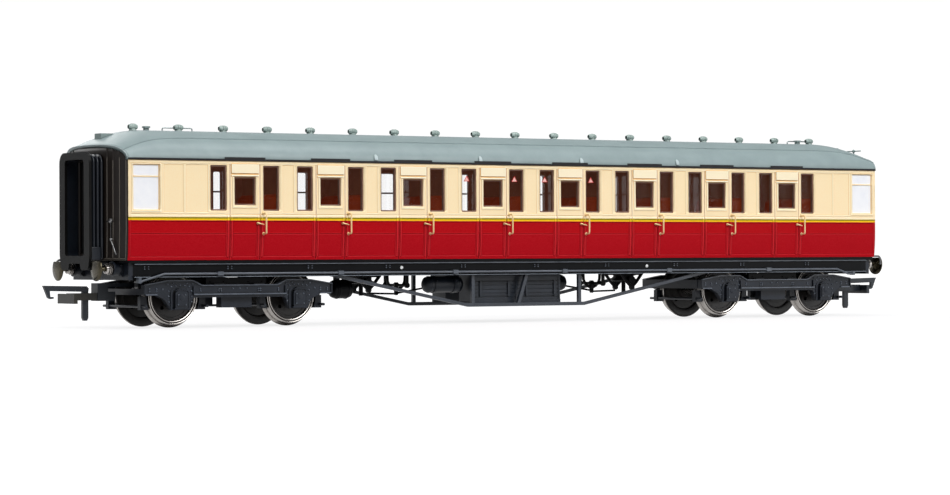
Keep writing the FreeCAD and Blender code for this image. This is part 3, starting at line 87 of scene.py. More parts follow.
class Shape:
    """Points in millimetres and the faces between them."""

    def __init__(self):
        self.points, self.faces, self.marks = [], [], []

    def add(self, points, faces, marks=None):
        base = len(self.points)
        self.points += [Vector(p) for p in points]
        self.marks += marks or [0] * len(points)
        self.faces += [tuple(base + i for i in face) for face in faces]
        return self

    def join(self, other):
        return self.add(other.points, other.faces, other.marks)

    def moved(self, x):
        """A copy further along the coach."""
        return Shape().add([p + X * x for p in self.points], self.faces)

    def mirrored(self, x=1, y=1):
        """A copy reflected where a sign is -1."""
        faces = [face[::-1] for face in self.faces] if x * y < 0 else self.faces
        return Shape().add([(p.x * x, p.y * y, p.z) for p in self.points], faces)

    def box(self, x0, x1, y0, y1, z0, z1):
        xs, ys, zs = sorted((x0, x1)), sorted((y0, y1)), sorted((z0, z1))
        return self.add([(x, y, z) for x in xs for y in ys for z in zs], BOX_FACES)

    def prism(self, outline, plane, low, high):
        """An outline pushed from low to high along the axis that the plane leaves out."""
        count = len(outline)
        points = [place(a, b, c, plane) for c in sorted((low, high)) for a, b in outline]
        faces = [tuple(range(count)), tuple(range(2 * count - 1, count - 1, -1))]
        for i in range(count):
            j = (i + 1) % count
            faces.append((i, i + count, j + count, j))
        return self.add(points, faces)

    def grid(self, rows, closed=False):
        """A surface through rows of points."""
        width = len(rows[0])
        faces = []
        for i in range(len(rows) - 1):
            for j in range(width if closed else width - 1):
                k = (j + 1) % width
                faces.append((i * width + j, i * width + k, (i + 1) * width + k, (i + 1) * width + j))
        return self.add([p for row in rows for p in row], faces)

    def rings(self, loops):
        """Closed loops joined in order, with both ends capped unless the last loop is the first."""
        width, first = len(loops[0]), len(self.points)
        self.grid(loops, closed=True)
        if (Vector(loops[0][0]) - Vector(loops[-1][0])).length >= 1e-6:
            last = len(self.points) - width
            self.faces += [tuple(range(first, first + width))[::-1], tuple(range(last, last + width))]
        return self

    def turned(self, profile, origin, axes, sides):
        """A turned shape: the profile is (radius, distance along the first of the axes)."""
        along, a, b = axes
        return self.rings([circle(Vector(origin) + along * step, a, b, size, sides) for size, step in profile])

    def lathe(self, profile, origin, axis, sides=32):
        return self.turned(profile, origin, AXES[axis], sides)

    def tube(self, points, radius, sides=10):
        """A round bar along a line of points, with one radius or one for each point."""
        points = [Vector(p) for p in points]
        sizes = radius if isinstance(radius, tuple) else (radius,) * len(points)
        loops, normal = [], None
        for i, point in enumerate(points):
            ahead = (points[min(i + 1, len(points) - 1)] - points[max(i - 1, 0)]).normalized()
            if normal is None:
                normal = ahead.orthogonal().normalized()
            normal = (normal - ahead * normal.dot(ahead)).normalized()
            loops.append(circle(point, normal, ahead.cross(normal), sizes[i], sides))
        return self.rings(loops)

    def stud(self, profile, centre, normal, sides):
        """A turned shape that stands on a surface."""
        normal = Vector(normal).normalized()
        a = normal.orthogonal().normalized()
        return self.turned(profile, centre, (normal, a, normal.cross(a)), sides)

    def dome(self, centre, normal, radius, height=None):
        """A rivet head."""
        height = height or radius * 0.7
        shares = (-0.5, 0, 0.45, 0.8, 0.98)
        return self.stud([(radius * sqrt(1 - max(s, 0) ** 2), height * s) for s in shares], centre, normal, 8)

    def nut(self, centre, normal, radius, height):
        """A six-sided bolt head."""
        return self.stud([(radius, -0.2), (radius, height * 0.7), (radius * 0.8, height)], centre, normal, 6)

    def plate(self, outlines, plane, low, high):
        """A flat plate whose first outline is its edge and the others its holes."""
        curve = bpy.data.curves.new("outline", "CURVE")
        curve.dimensions = "2D"
        curve.fill_mode = "BOTH"
        curve.extrude = abs(high - low) / 2
        for outline in outlines:
            spline = curve.splines.new("POLY")
            spline.points.add(len(outline) - 1)
            for point, (a, b) in zip(spline.points, outline):
                point.co = (a, b, 0, 1)
            spline.use_cyclic_u = True
        holder = bpy.data.objects.new("outline", curve)
        mesh = bpy.data.meshes.new_from_object(holder)
        middle = (low + high) / 2
        self.add([place(v.co.x, v.co.y, middle + v.co.z, plane) for v in mesh.vertices],
                 [tuple(p.vertices) for p in mesh.polygons])
        bpy.data.objects.remove(holder)
        bpy.data.curves.remove(curve)
        bpy.data.meshes.remove(mesh)
        return self


def place(a, b, c, plane):
    """A point of a plane and its height over it, as a point of the coach's frame."""
    return {"XZ": (a, c, b), "YZ": (c, a, b), "XY": (a, b, c)}[plane]


def rounded(corners, radius, steps=5):
    """An outline with round corners. A corner may carry its own radius."""
    outline = []
    for i, corner in enumerate(corners):
        r = corner[2] if len(corner) > 2 else radius
        here = Vector(corner[:2])
        back = Vector(corners[i - 1][:2]) - here
        on = Vector(corners[(i + 1) % len(corners)][:2]) - here
        half = back.angle(on) / 2
        if r <= 0 or half > pi / 2 - 0.02:
            outline.append(tuple(here))
            continue
        reach = min(r / tan(half), 0.49 * back.length, 0.49 * on.length)
        r = reach * tan(half)
        centre = here + (back.normalized() + on.normalized()).normalized() * (r / sin(half))
        start = here + back.normalized() * reach - centre
        end = here + on.normalized() * reach - centre
        sweep = atan2(start.x * end.y - start.y * end.x, start.dot(end))
        for k in range(steps + 1):
            c, s = cos(sweep * k / steps), sin(sweep * k / steps)
            outline.append((centre.x + start.x * c - start.y * s, centre.y + start.x * s + start.y * c))
    return outline


def rectangle(a0, a1, b0, b1, radius=0, steps=5):
    return rounded([(a0, b0), (a1, b0), (a1, b1), (a0, b1)], radius, steps)


def arch(middle, half, low, high, low_radius, high_radius, steps):
    """A rectangle about a middle whose lower and upper corners have their own radii."""
    left, right = middle - half, middle + half
    return rounded([(left, low, low_radius), (right, low, low_radius), (right, high, high_radius),
                    (left, high, high_radius)], 0, steps)


def smooth_line(points, radius, steps=4):
    """A path in space whose corners are rounded."""
    points = [Vector(p) for p in points]
    line = [points[0]]
    for before, here, after in zip(points, points[1:], points[2:]):
        back, on = before - here, after - here
        reach = min(radius, back.length * 0.45, on.length * 0.45)
        start, end = here + back.normalized() * reach, here + on.normalized() * reach
        for t in (k / steps for k in range(steps + 1)):
            line.append(start * (1 - t) ** 2 + here * (2 * t * (1 - t)) + end * t**2)
    return line + [points[-1]]


def add_to_scene(name, data):
    thing = bpy.data.objects.new(name, data)
    bpy.context.scene.collection.objects.link(thing)
    return thing


def piece(name, shape, material, cad_node="", body="coach", bevel=0, crease=40, thick=0, tidy=True):
    """Makes a Blender object of a shape and hands it to the frame."""
    mesh = bpy.data.meshes.new(name)
    mesh.from_pydata([p * MM for p in shape.points], [], shape.faces)
    if any(shape.marks):
        mesh.attributes.new("relief", "FLOAT", "POINT").data.foreach_set("value", shape.marks)
    work = bmesh.new()
    work.from_mesh(mesh)
    bmesh.ops.remove_doubles(work, verts=work.verts, dist=1e-7)
    bmesh.ops.dissolve_degenerate(work, edges=work.edges, dist=1e-7)
    if tidy:
        bmesh.ops.recalc_face_normals(work, faces=work.faces)
    work.to_mesh(mesh)
    work.free()
    mesh.shade_smooth()
    mesh.set_sharp_from_angle(angle=radians(crease))
    mesh.materials.append(material)
    thing = add_to_scene(name, mesh)
    if thick:
        skin = thing.modifiers.new("thickness", "SOLIDIFY")
        skin.thickness = thick * MM
        skin.offset = -1
    if bevel:
        edges = thing.modifiers.new("edges", "BEVEL")
        edges.width = bevel * MM
        edges.segments = 2
        edges.limit_method = "ANGLE"
        edges.angle_limit = radians(35)
    thing.modifiers.new("flat_faces", "WEIGHTED_NORMAL").keep_sharp = True
    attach(thing, body)
    if cad_node:
        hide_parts(cad_node)
    return thing


# Materials


def linear(code):
    """A colour of six hex digits as the linear colour that a shader wants."""
    shares = [int(code[i:i + 2], 16) / 255 for i in (0, 2, 4)]
    return (*(s / 12.92 if s <= 0.04045 else ((s + 0.055) / 1.055) ** 2.4 for s in shares), 1)


def blank(name):
    material = bpy.data.materials.new(name)
    material.use_nodes = True
    tree = material.node_tree
    return material, tree, tree.nodes["Principled BSDF"]


def node(tree, kind, *sources, **values):
    """A new node with its settings or inputs; sources are linked to its first inputs."""
    made = tree.nodes.new(kind)
    for key, value in values.items():
        if hasattr(made, key):
            setattr(made, key, value)
        else:
            made.inputs[key.replace("_", " ")].default_value = value
    for source, target in zip(sources, made.inputs):
        tree.links.new(source, target)
    return made


def mixed(tree, share, low, high, mode="MIX"):
    """Mixes two colours, sockets or values, by a share."""
    mix = node(tree, "ShaderNodeMix", data_type="RGBA", blend_type=mode)
    for index, value in ((0, share), (6, low), (7, high)):
        if isinstance(value, bpy.types.NodeSocket):
            tree.links.new(value, mix.inputs[index])
        else:
            mix.inputs[index].default_value = value
    return mix.outputs[2]


def ranged(tree, value, low, high, out_low=0, out_high=1):
    return node(tree, "ShaderNodeMapRange", value, From_Min=low, From_Max=high, To_Min=out_low,
                To_Max=out_high).outputs[0]


def grain(tree, shader, coarse, fine, strength, depth):
    """Two scales of noise: the coarse one is handed back and the fine one roughens the surface."""
    spot = tree.nodes.new("ShaderNodeTexCoord").outputs["Object"]
    broad = node(tree, "ShaderNodeTexNoise", spot, Scale=coarse, Detail=4, Roughness=0.6)
    close = node(tree, "ShaderNodeTexNoise", spot, Scale=fine, Detail=6, Roughness=0.65)
    bump = node(tree, "ShaderNodeBump", Strength=strength, Distance=depth)
    tree.links.new(close.outputs["Fac"], bump.inputs["Height"])
    tree.links.new(bump.outputs["Normal"], shader.inputs["Normal"])
    return spot, broad.outputs["Fac"], close.outputs["Fac"]


def set_shader(shader, rough, metallic=0, specular=0.5):
    for key, value in (("Roughness", rough), ("Metallic", metallic), ("Specular IOR Level", specular)):
        shader.inputs[key].default_value = value


def crevices(tree, reach, samples=6):
    """How open the surface is to its surroundings, from 0 in a groove to 1."""
    return node(tree, "ShaderNodeAmbientOcclusion", samples=samples, Distance=reach).outputs["AO"]


def relief_mark(tree):
    """The mark that reliefs carry at their edges, as a share for a painted highlight on raised edges and a share
    for painted shade on sunken ones.
    """
    mark = node(tree, "ShaderNodeAttribute", attribute_name="relief").outputs["Fac"]
    return ranged(tree, mark, 0.04, 0.8), ranged(tree, mark, -0.04, -0.8)


def plastic(name, colour, light, rough=0.5, specular=0.4, coarse=260, fine=2600, strength=0.12, depth=0.00004,
            crevice_shade=None, metallic=0, reach=0.0008, lit=None, glow=0, shade_span=(0.25, 0.85), wear=(0.06, 0.08)):
    """Painted or self-coloured moulding: faint mottling, a fine grain, painted shade in crevices where a crevice
    shade colour is given, a painted highlight on raised relief edges where lit is given, and a painted glow where
    glow is given.
    """
    material, tree, shader = blank(name)
    set_shader(shader, rough, metallic, specular)
    _, broad, close = grain(tree, shader, coarse, fine, strength, depth)
    paint = mixed(tree, ranged(tree, broad, 0.3, 0.7), linear(colour), linear(light))
    # Painted highlight: raised relief edges take the lit colour.
    if lit:
        paint = mixed(tree, relief_mark(tree)[0], paint, linear(lit))
    # Painted shade: where the occlusion finds the surface closed in, the paint turns to the crevice shade colour.
    if crevice_shade:
        paint = mixed(tree, ranged(tree, crevices(tree, reach), *shade_span), linear(crevice_shade), paint)
    # Painted light: the part glows in its own colour though it is no lamp.
    if glow:
        shader.inputs["Emission Color"].default_value = linear(colour)
        shader.inputs["Emission Strength"].default_value = glow
    tree.links.new(paint, shader.inputs["Base Color"])
    tree.links.new(ranged(tree, close, 0.2, 0.8, rough - wear[0], rough + wear[1]), shader.inputs["Roughness"])
    return material


def metal(name, colour, light, rough=0.3, crevice_shade=None):
    """Metal with fine marks, with painted shade in its gaps where a crevice shade colour is given."""
    return plastic(name, colour, light, rough, specular=0.5, coarse=500, fine=3000, strength=0.05, depth=0.00001,
                   crevice_shade=crevice_shade, metallic=1, reach=0.0014, shade_span=(0.45, 0.95), wear=(0.08, 0.12))


def livery():
    """Cream over crimson with a lined waist, split by height, with painted highlights on raised edges and painted
    shade on sunken edges and in crevices.
    """
    material, tree, shader = blank("livery")
    set_shader(shader, 0.38, 0, 0.06)
    spot, broad, close = grain(tree, shader, 190, 3400, 0.05, 0.00002)
    low, high, waist, lining = 17, 43, 27.9, 27.15
    split = node(tree, "ShaderNodeSeparateXYZ", spot)
    height = ranged(tree, split.outputs["Z"], low * MM, high * MM)

    def stack(*bands):
        """A colour for each height from which it starts."""
        ramp = node(tree, "ShaderNodeValToRGB", height)
        ramp.color_ramp.interpolation = "CONSTANT"
        stops = ramp.color_ramp.elements
        while len(stops) < len(bands):
            stops.new(0.5)
        for stop, (z, colour) in zip(stops, bands):
            stop.position = (z - low) / (high - low)
            stop.color = linear(colour)
        return ramp.outputs[0]

    body = stack((low, "A80313"), (23.75, "AC000B"), (lining, "F0BC12"), (27.5, "706C1E"), (waist, "FFE5B7"))
    # A paler copy of each band: it tints the fine grain and is the painted highlight on raised edges.
    light = stack((low, "D62C34"), (lining, "FAD63C"), (waist, "FFFAE2"))
    # A darker copy of each band: painted shade on sunken edges.
    dark = stack((low, "680008"), (lining, "967814"), (waist, "F0C076"))
    # Painted shade for the crevices of each band.
    crevice_shade = stack((low, "700008"), (lining, "967814"), (waist, "E4B064"))
    raised_highlight, sunken_shade = relief_mark(tree)
    paint = mixed(tree, ranged(tree, close, 0.35, 0.7, 0, 0.22), body, light)
    paint = mixed(tree, ranged(tree, broad, 0.35, 0.65, 0, 0.05), paint, linear("FFFFFA"), "SOFT_LIGHT")
    paint = mixed(tree, raised_highlight, paint, light)
    paint = mixed(tree, sunken_shade, paint, dark)
    open_share = ranged(tree, crevices(tree, 0.0007, 8), 0.3, 0.85)
    tree.links.new(mixed(tree, open_share, crevice_shade, paint), shader.inputs["Base Color"])
    return material


def clear_glazing():
    """Thin clear plastic with faint moulding waves."""
    material, tree, shader = blank("clear_glazing")
    set_shader(shader, 0)
    grain(tree, shader, 90, 160, 0.006, 0.00002)
    shader.inputs["Base Color"].default_value = (0.96, 0.97, 0.97, 1)
    for key, value in (("Transmission Weight", 1), ("IOR", 1.4), ("Alpha", 0.06)):
        shader.inputs[key].default_value = value
    return material


LIVERY = livery()
# The darker colour given below for a material's crevices is painted shade, laid where the surface is closed in.
ROOF = plastic("roof_paint", "7A8A8B", "849495", 0.42, 0.5, coarse=150, fine=3000, strength=0.08, crevice_shade="5C6A69")
ROOF_TRIM = plastic("roof_trim_paint", "768584", "849391", 0.5, 0.4, crevice_shade="4C5858")
VENT = plastic("ventilator_paint", "7C8C88", "9CACA6", 0.4, 0.5, crevice_shade="2A3234")
BLACK = plastic("gutter_black", "121214", "1A191B", 0.45, 0.3)
# The end paint's lit colour is a painted highlight on the raised beads of the ends.
END_BLACK = plastic("end_paint", "1D1714", "251F1B", 0.36, 0.22, crevice_shade="090706", lit="706A62")
RUBBER = plastic("bellows_black", "0D121B", "141B25", 0.36, 0.55, crevice_shade="040508")
FACE = plastic("face_plate_paint", "0F0F0F", "171717", 0.4, 0.1, crevice_shade="050505")
UNDER = plastic("underframe_black", "040507", "080A0E", 0.34, 0.12, crevice_shade="010102", reach=0.0026)
BOX_BLACK = plastic("equipment_black", "181D25", "222832", 0.36, 0.4, crevice_shade="040508", reach=0.0012)
TRUSS = plastic("truss_black", "282D36", "343A44", 0.34, 0.6, crevice_shade="0C0E12")
# The black pipes are painted a lighter grey: a painted highlight.
PIPE = plastic("pipe_lit_black", "464C55", "5E646D", 0.3, 0.5, crevice_shade="08090C", reach=0.0012)
# Lighter black for flanges, bolts and rivets: a painted highlight.
EDGE = plastic("highlight_edge_black", "404753", "5C6470", 0.3, 0.6, crevice_shade="0C0F14")
# Pale grey for the strips along the solebar flanges: a painted highlight.
FLANGE_HIGHLIGHT = plastic("flange_highlight", "68707A", "848C96", 0.3, 0.5)
BOGIE = plastic("bogie_black", "151A23", "1F252F", 0.36, 0.35, crevice_shade="030407", reach=0.0014)
COUPLING = plastic("coupling_black", "191F26", "222931", 0.36, 0.5, crevice_shade="0C0E12")
BAR = plastic("bumper_brown", "1A180F", "2A261A", 0.32, 0.5)
FRAME_BROWN = plastic("window_frame_brown", "68483A", "826252", 0.45, 0.4)
# The saloon and seats glow in their own colour: painted light inside the coach.
SALOON = plastic("saloon_brown", "764632", "8C5840", 0.6, 0.2, glow=0.16)
SEAT = plastic("seat_brown", "96381A", "B04E28", 0.6, 0.2, crevice_shade="602412", glow=0.13)
DOOR = plastic("gangway_door_brown", "0A0B0E", "101115", 0.4, 0.4, crevice_shade="030304")
OPAL = plastic("opal_pane", "F0F2F8", "F8F9FC", 0.3, 0.4)
HANDLE = plastic("handle_paint", "F0CE92", "FAE0AC", 0.36, 0.5, crevice_shade="B07A46", metallic=0.1)
HOOP = plastic("hoop_paint", "A8B6B8", "BAC6C8", 0.5, 0.3)
WIRE = metal("rail_wire", "889294", "A6AEAE", 0.35)
STEEL = metal("tyre_steel", "B0ABA6", "CEC9C4", 0.22, crevice_shade="282422")
BUFFER = metal("buffer_steel", "3E392D", "5C5646", 0.22)
BRIGHT = metal("bright_screw", "969696", "B4B4B2", 0.28)
DARK_WIRE = metal("dark_wire", "5C5C5E", "8C8C8C", 0.3)
BRASS = metal("bearing_brass", "BE964C", "D4AE64", 0.3)
WHEEL = plastic("wheel_brown", "161211", "201B18", 0.34, 0.5, crevice_shade="050404")
BACK = plastic("wheel_back_brown", "141110", "221E19", 0.34, 0.4, crevice_shade="080707")
MARK = plastic("white_mark", "E2E4E4", "ECEEEE", 0.5, 0.3)
LABEL = plastic("window_label", "F0B2A8", "F8CEC6", 0.5, 0.2)
LABEL_EDGE = plastic("window_label_edge", "CD3E3A", "D8504A", 0.5, 0.2)
GLAZING = clear_glazing()

# Body sides and ends

STEP = 0.055
END_COLUMNS = (9.9, 12.4, 14.9, 17.3)


def tuck(z):
    """How far the side curves in at a height."""
    return 0.5 * max(0, (25 - z) / (25 - BODY_LOW)) ** 2


def end_x(y, more=0):
    """Where the bowed end stands at a distance from the middle."""
    return BOW_CENTRE + sqrt(max((BOW + more) ** 2 - y * y, 0))


def roof_fall(x):
    run = max(abs(x) - DOME_START, 0)
    return DOME_RADIUS - sqrt(DOME_RADIUS**2 - run**2)


def roof_z(x, y, inset=0):
    """Height of the roof, or of its underside if inset."""
    half = HALF_WIDTH - inset
    return SPRING + (RISE - inset - roof_fall(x)) * sqrt(max(1 - (y / half) ** 2, 0))


class Relief:
    """A wall drawn as rectangles that stand proud or are sunk, with holes."""

    def __init__(self, holes):
        self.areas = []
        self.holes = holes

    def area(self, a0, a1, b0, b1, level):
        self.areas.append((min(a0, a1), max(a0, a1), b0, b1, level))

    def level(self, a, b):
        """How far the last rectangle over a point stands out."""
        found = (level for a0, a1, b0, b1, level in reversed(self.areas) if a0 < a < a1 and b0 < b < b1)
        return next(found, 0)

    def mark(self, a, b):
        """From -1 in a sunken corner or groove to 1 on a raised edge."""
        reach = 2.2 * STEP
        around = [(a - reach, b), (a + reach, b), (a, b - reach), (a, b + reach)]
        here = self.level(a, b)
        bend = here - sum(self.level(*other) for other in around) / 4
        return max(-1, min(1, bend * 22 + max(here, 0) * 1.2))

    def inside_hole(self, a, b):
        return any(a0 < a < a1 and b0 < b < b1 for a0, a1, b0, b1 in self.holes)

    def lines(self, first, low, high, extra=()):
        """Grid lines either side of every edge."""
        edges = [edge for area in self.areas for edge in area[first:first + 2]]
        marks = [low, high, *extra, *(mark for hole in self.holes for mark in hole[first:first + 2])]
        marks += [edge + step * STEP for edge in edges for step in (-3.6, -1, 1, 3.6)]
        kept = []
        for mark in sorted(m for m in marks if low <= m <= high):
            if not kept or mark - kept[-1] > 0.012:
                kept.append(mark)
        return kept


def relief_surface(relief, columns, rows, point):
    """The wall's surface; point(a, b, level) puts a grid point in space."""
    spots = [(a, b) for b in rows for a in columns]
    width = len(columns)
    faces = []
    for j in range(len(rows) - 1):
        for i in range(width - 1):
            if not relief.inside_hole((columns[i] + columns[i + 1]) / 2, (rows[j] + rows[j + 1]) / 2):
                base = j * width + i
                faces.append((base, base + 1, base + 1 + width, base + width))
    used = sorted({i for face in faces for i in face})
    order = {old: new for new, old in enumerate(used)}
    kept = [tuple(order[i] for i in face) for face in faces]
    points = [point(*spots[i], relief.level(*spots[i])) for i in used]
    return Shape().add(points, kept, [relief.mark(*spots[i]) for i in used])


def side_openings(side):
    """Rectangles of the windows of one side, without the lavatories."""
    if side > 0:
        doors = [(c - 3.1, c + 3.1, *DROPLIGHT) for c in FAR_DOORS]
        return doors + [(c - 7, c + 7, *WINDOW) for c in FAR_LIGHTS]
    spans = ((-3.1, 3.1, *DROPLIGHT), (-9.9, -5.2, *WINDOW), (5.2, 9.9, *WINDOW))
    return [(c + left, c + right, low, high) for c in BAYS for left, right, low, high in spans]


def side_relief(side):
    relief = Relief([*side_openings(side), *LAVATORIES])
    doors = BAYS if side < 0 else FAR_DOORS
    relief.area(-119.5, 119.5, 27, 28.45, 0.07)
    relief.area(-119.5, 119.5, 28.6, 28.78, -0.12)
    relief.area(-120, 120, 41.45, 42.1, 0.06)
    ends = zip([-119.6] + [c + 5.4 for c in doors], [c - 5.4 for c in doors] + [119.6])
    panels = [(c - 3.45, c + 3.3) for c in doors] + [(left, right) for left, right in ends if right - left > 7]
    for left, right in panels:
        relief.area(left, right, 18, 26.95, -0.11)
        relief.area(left, right, 23.7, 23.86, -0.2)
    strips = ((4.72, 5.1, 17.9, 28.45, 0.17), (3.6, 3.92, 17.9, 28.45, 0.13), (4.22, 4.4, 17.2, 41.4, -0.26))
    for c in doors:
        for way in SIGNS:
            for near, far, *rest in strips:
                relief.area(c + way * near, c + way * far, *rest)
        relief.area(c - 3.62, c + 3.62, 30.25, 38.2, 0.13)
        relief.area(c - 3.95, c + 3.95, 38.3, 38.72, 0.26)
        if side < 0:
            relief.area(c - 3.9, c + 3.9, 39.1, 41.4, 0.34)
    if side < 0:
        for c in BAYS[:-1]:
            relief.area(c + 10.85, c + 14.15, 29.2, 41.3, -0.13)
    else:
        for c in FAR_LIGHTS[:-1]:
            relief.area(c + 7.9, c + 8.2, 29.2, 41.3, -0.1)
            relief.area(c + 16.8, c + 17.1, 29.2, 41.3, -0.1)
    for way in SIGNS:
        relief.area(way * 98, way * 104.3, 29.2, 41.2, -0.13)
        relief.area(way * 104.9, way * 110.5, 29.2, 41.2, -0.13)
        relief.area(way * 111.1, way * 119.4, 29.15, 41.3, 0.1)
    return relief


def corner_fills(shape, opening, side):
    """Rounds the corners of a window by filling them."""
    x0, x1, z0, z1 = opening
    for x, z, sx, sz in ((x0, z0, 1, 1), (x1, z0, -1, 1), (x1, z1, -1, -1), (x0, z1, 1, -1)):
        a, b = x + sx * WINDOW_RADIUS, z + sz * WINDOW_RADIUS
        fan = [(x - sx * 0.02, z - sz * 0.02), (a, z - sz * 0.02)]
        for t in (pi / 2 * k / 4 for k in range(5)):
            fan.append((a - sx * WINDOW_RADIUS * sin(t), b - sz * WINDOW_RADIUS * cos(t)))
        fan.append((x - sx * 0.02, b))
        shape.prism(fan, "XZ", side * (HALF_WIDTH - 0.02), side * (HALF_WIDTH - 1))


def coach_side(side):
    relief = side_relief(side)
    columns = relief.lines(0, -CORNER, CORNER)
    rows = relief.lines(2, BODY_LOW, CANTRAIL, (17.5, 19.2, 20.6, 22, 25.2))

    def point(x, z, level):
        return (x, side * (HALF_WIDTH - tuck(z) + level), z)

    shape = relief_surface(relief, columns, rows, point)
    if side > 0:
        shape.faces = [face[::-1] for face in shape.faces]
    return shape


for label, side in SIDES:
    piece(f"body_side_{label}", coach_side(side), LIVERY, "body_shell", crease=70,
          thick=1, tidy=False)
    fills = Shape()
    for opening in [*side_openings(side), *LAVATORIES]:
        corner_fills(fills, opening, side)
    piece(f"window_corners_{label}", fills, LIVERY)


def coach_end(way):
    relief = Relief([(-5.5, 5.5, 18.9, 41.9)])
    for y in END_COLUMNS:
        for sign in SIGNS:
            relief.area(sign * (y - 0.13), sign * (y + 0.13), 17.3, 60, 0.16)
    relief.area(-17.4, 17.4, 17.1, 17.7, 0.12)
    columns = relief.lines(0, -HALF_WIDTH, HALF_WIDTH, [1.5 * i for i in range(-12, 13)])
    rows = relief.lines(2, BODY_LOW, CANTRAIL, (25, 33))

    def ceiling(y):
        return roof_z(end_x(y), y, SKIN) if abs(y) < HALF_WIDTH - SKIN else CANTRAIL

    def point(y, z, level):
        squeeze = 1 - tuck(min(z, 25)) / HALF_WIDTH
        return (way * (end_x(y) - 0.05 + level), y * squeeze, z)

    shape = relief_surface(relief, columns, rows, point)
    rise = [max(ceiling(y) - CANTRAIL, 0) for y in columns]
    shape.grid([
        [point(y, CANTRAIL + up * share, relief.level(y, CANTRAIL - 1)) for y, up in zip(columns, rise)]
        for share in (0, 0.34, 0.67, 1)
    ])
    if way < 0:
        shape.faces = [face[::-1] for face in shape.faces]
    return shape


for label, way in ENDS:
    piece(f"body_end_{label}", coach_end(way), END_BLACK, "body_shell", crease=60,
          thick=0.9, tidy=False)


def ring_frame(shape, opening, side, line, outer_y, inner_y):
    """A window frame with rounded corners that lines its opening."""
    x0, x1, z0, z1 = opening
    outer = rectangle(x0 + 0.01, x1 - 0.01, z0 + 0.01, z1 - 0.01, WINDOW_RADIUS)
    inner = rectangle(x0 + line, x1 - line, z0 + line, z1 - line, WINDOW_RADIUS * 0.6)
    section = ((outer, inner_y), (outer, outer_y), (inner, outer_y - 0.06), (inner, inner_y), (outer, inner_y))
    shape.rings([[(x, side * y, z) for x, z in outline] for outline, y in section])


for label, side in SIDES:
    frames = Shape()
    for opening in side_openings(side):
        ring_frame(frames, opening, side, 0.36, 17.8, 16.96)
    piece(f"window_frames_{label}", frames, FRAME_BROWN, "window_frames", crease=50)
    bars = Shape()
    for opening in LAVATORIES:
        ring_frame(bars, opening, side, 0.22, 17.86, 17.3)
        bars.box(opening[0] + 0.2, opening[1] - 0.2, side * 17.68, side * 17.82, 37.9, 38.25)
    piece(f"lavatory_bars_{label}", bars, LIVERY, bevel=0.05)

# Roof


def roof_row(angle):
    """Points along the roof at an angle around its arc."""
    y = HALF_WIDTH * cos(angle)
    straight = DOME_START - 2
    tail = [straight + (end_x(y, 0.3) - straight) * i / 16 for i in range(17)]
    xs = [-x for x in tail[::-1]] + [(-1 + i / 5) * straight for i in range(1, 10)] + tail
    return [(x, y, SPRING + (RISE - roof_fall(x)) * sin(angle)) for x in xs]


roof_rows = [roof_row(pi * i / 56) for i in range(57)]
eaves = [[(x, y, CANTRAIL) for x, y, z in roof_rows[i]] for i in (0, -1)]
roof = Shape().grid([eaves[0], *roof_rows, eaves[1]])
piece("roof_skin", roof, ROOF, "roof_shell", crease=60, thick=0.8)

# A thin pale tube along each roof end edge: a painted highlight where the edge catches light.
rim_highlights = Shape()
for way in SIGNS:
    arc = []
    for k in range(49):
        y = 17.9 * cos(pi * k / 48)
        x = end_x(y, 0.3) - 0.06
        arc.append((way * x, y, roof_z(x, y) + 0.02))
    rim_highlights.tube(arc, 0.1, 8)
piece("roof_end_lips", rim_highlights, HOOP)


def ventilators():
    shape = Shape()
    half = [
        (0.82, 0), (0.82, 0.22), (0.76, 0.26), (0.76, 0.32), (0.81, 0.36), (0.78, 0.62), (0.7, 0.88), (0.6, 1.08),
        (0.54, 1.22), (0.45, 1.26), (0.4, 0.9), (0.05, 0.85),
    ]
    profile = [(r, -x) for r, x in half[:0:-1]] + half
    for index in range(18):
        x = 12.965 * (index - 8.5)
        shape.lathe(profile, (x, 0, 51.2), "X", 24)
        base = roof_z(x, 0)
        stem = [(1.02, base - 50.34), (0.96, base - 50.12), (0.74, base - 49.9), (0.66, 0.6)]
        shape.lathe(stem, (x, 0, 50.3), "Z", 20)
    return shape


piece("roof_vents", ventilators(), VENT, "roof_ventilators", crease=38)


def rails():
    shape = Shape()
    for low, high in ((-101.2, -92.6), (103.2, 111.9)):
        line = smooth_line([(low, 1.3, 49.95), (low, 1.3, 51.15), (high, 1.3, 51.15), (high, 1.3, 49.95)], 0.5)
        shape.tube(line, 0.17)
        middle = (low + high) / 2
        shape.tube([(middle, 1.3, 50.1), (middle, 1.3, 51.15)], 0.13, 8)
        for x in (low, middle, high):
            shape.lathe([(0.45, -0.05), (0.42, 0.1), (0.2, 0.16)], (x, 1.3, roof_z(x, 1.3)), "Z", 14)
    return shape


piece("roof_rails", rails(), WIRE, "roof_handrails", crease=50)


def roof_parts():
    shape = Shape()
    for x in (-106.4, 105.9):
        for dx in (-0.55, 0.55):
            shape.lathe([(0.26, -0.3), (0.26, 0.85)], (x + dx, 0, 50.2), "Z", 14)
        shape.prism(rectangle(x - 0.85, x + 0.85, -0.8, 0.8, 0.2), "XY", 50.95, 51.4)
        shape.box(x - 0.6, x + 0.6, -0.5, 0.5, 50.1, 51)
    for x in (-118.3, 118.3):
        shape.prism(rectangle(x - 1.8, x + 1.8, -1.85, 1.85, 0.3), "XY", 47.6, 49.3)
        for y in (-1.3, 0, 1.3):
            shape.dome((x, y, 49.3), Z, 0.14, 0.05)
    return shape


piece("roof_boxes", roof_parts(), ROOF_TRIM, "roof_fittings", bevel=0.08)

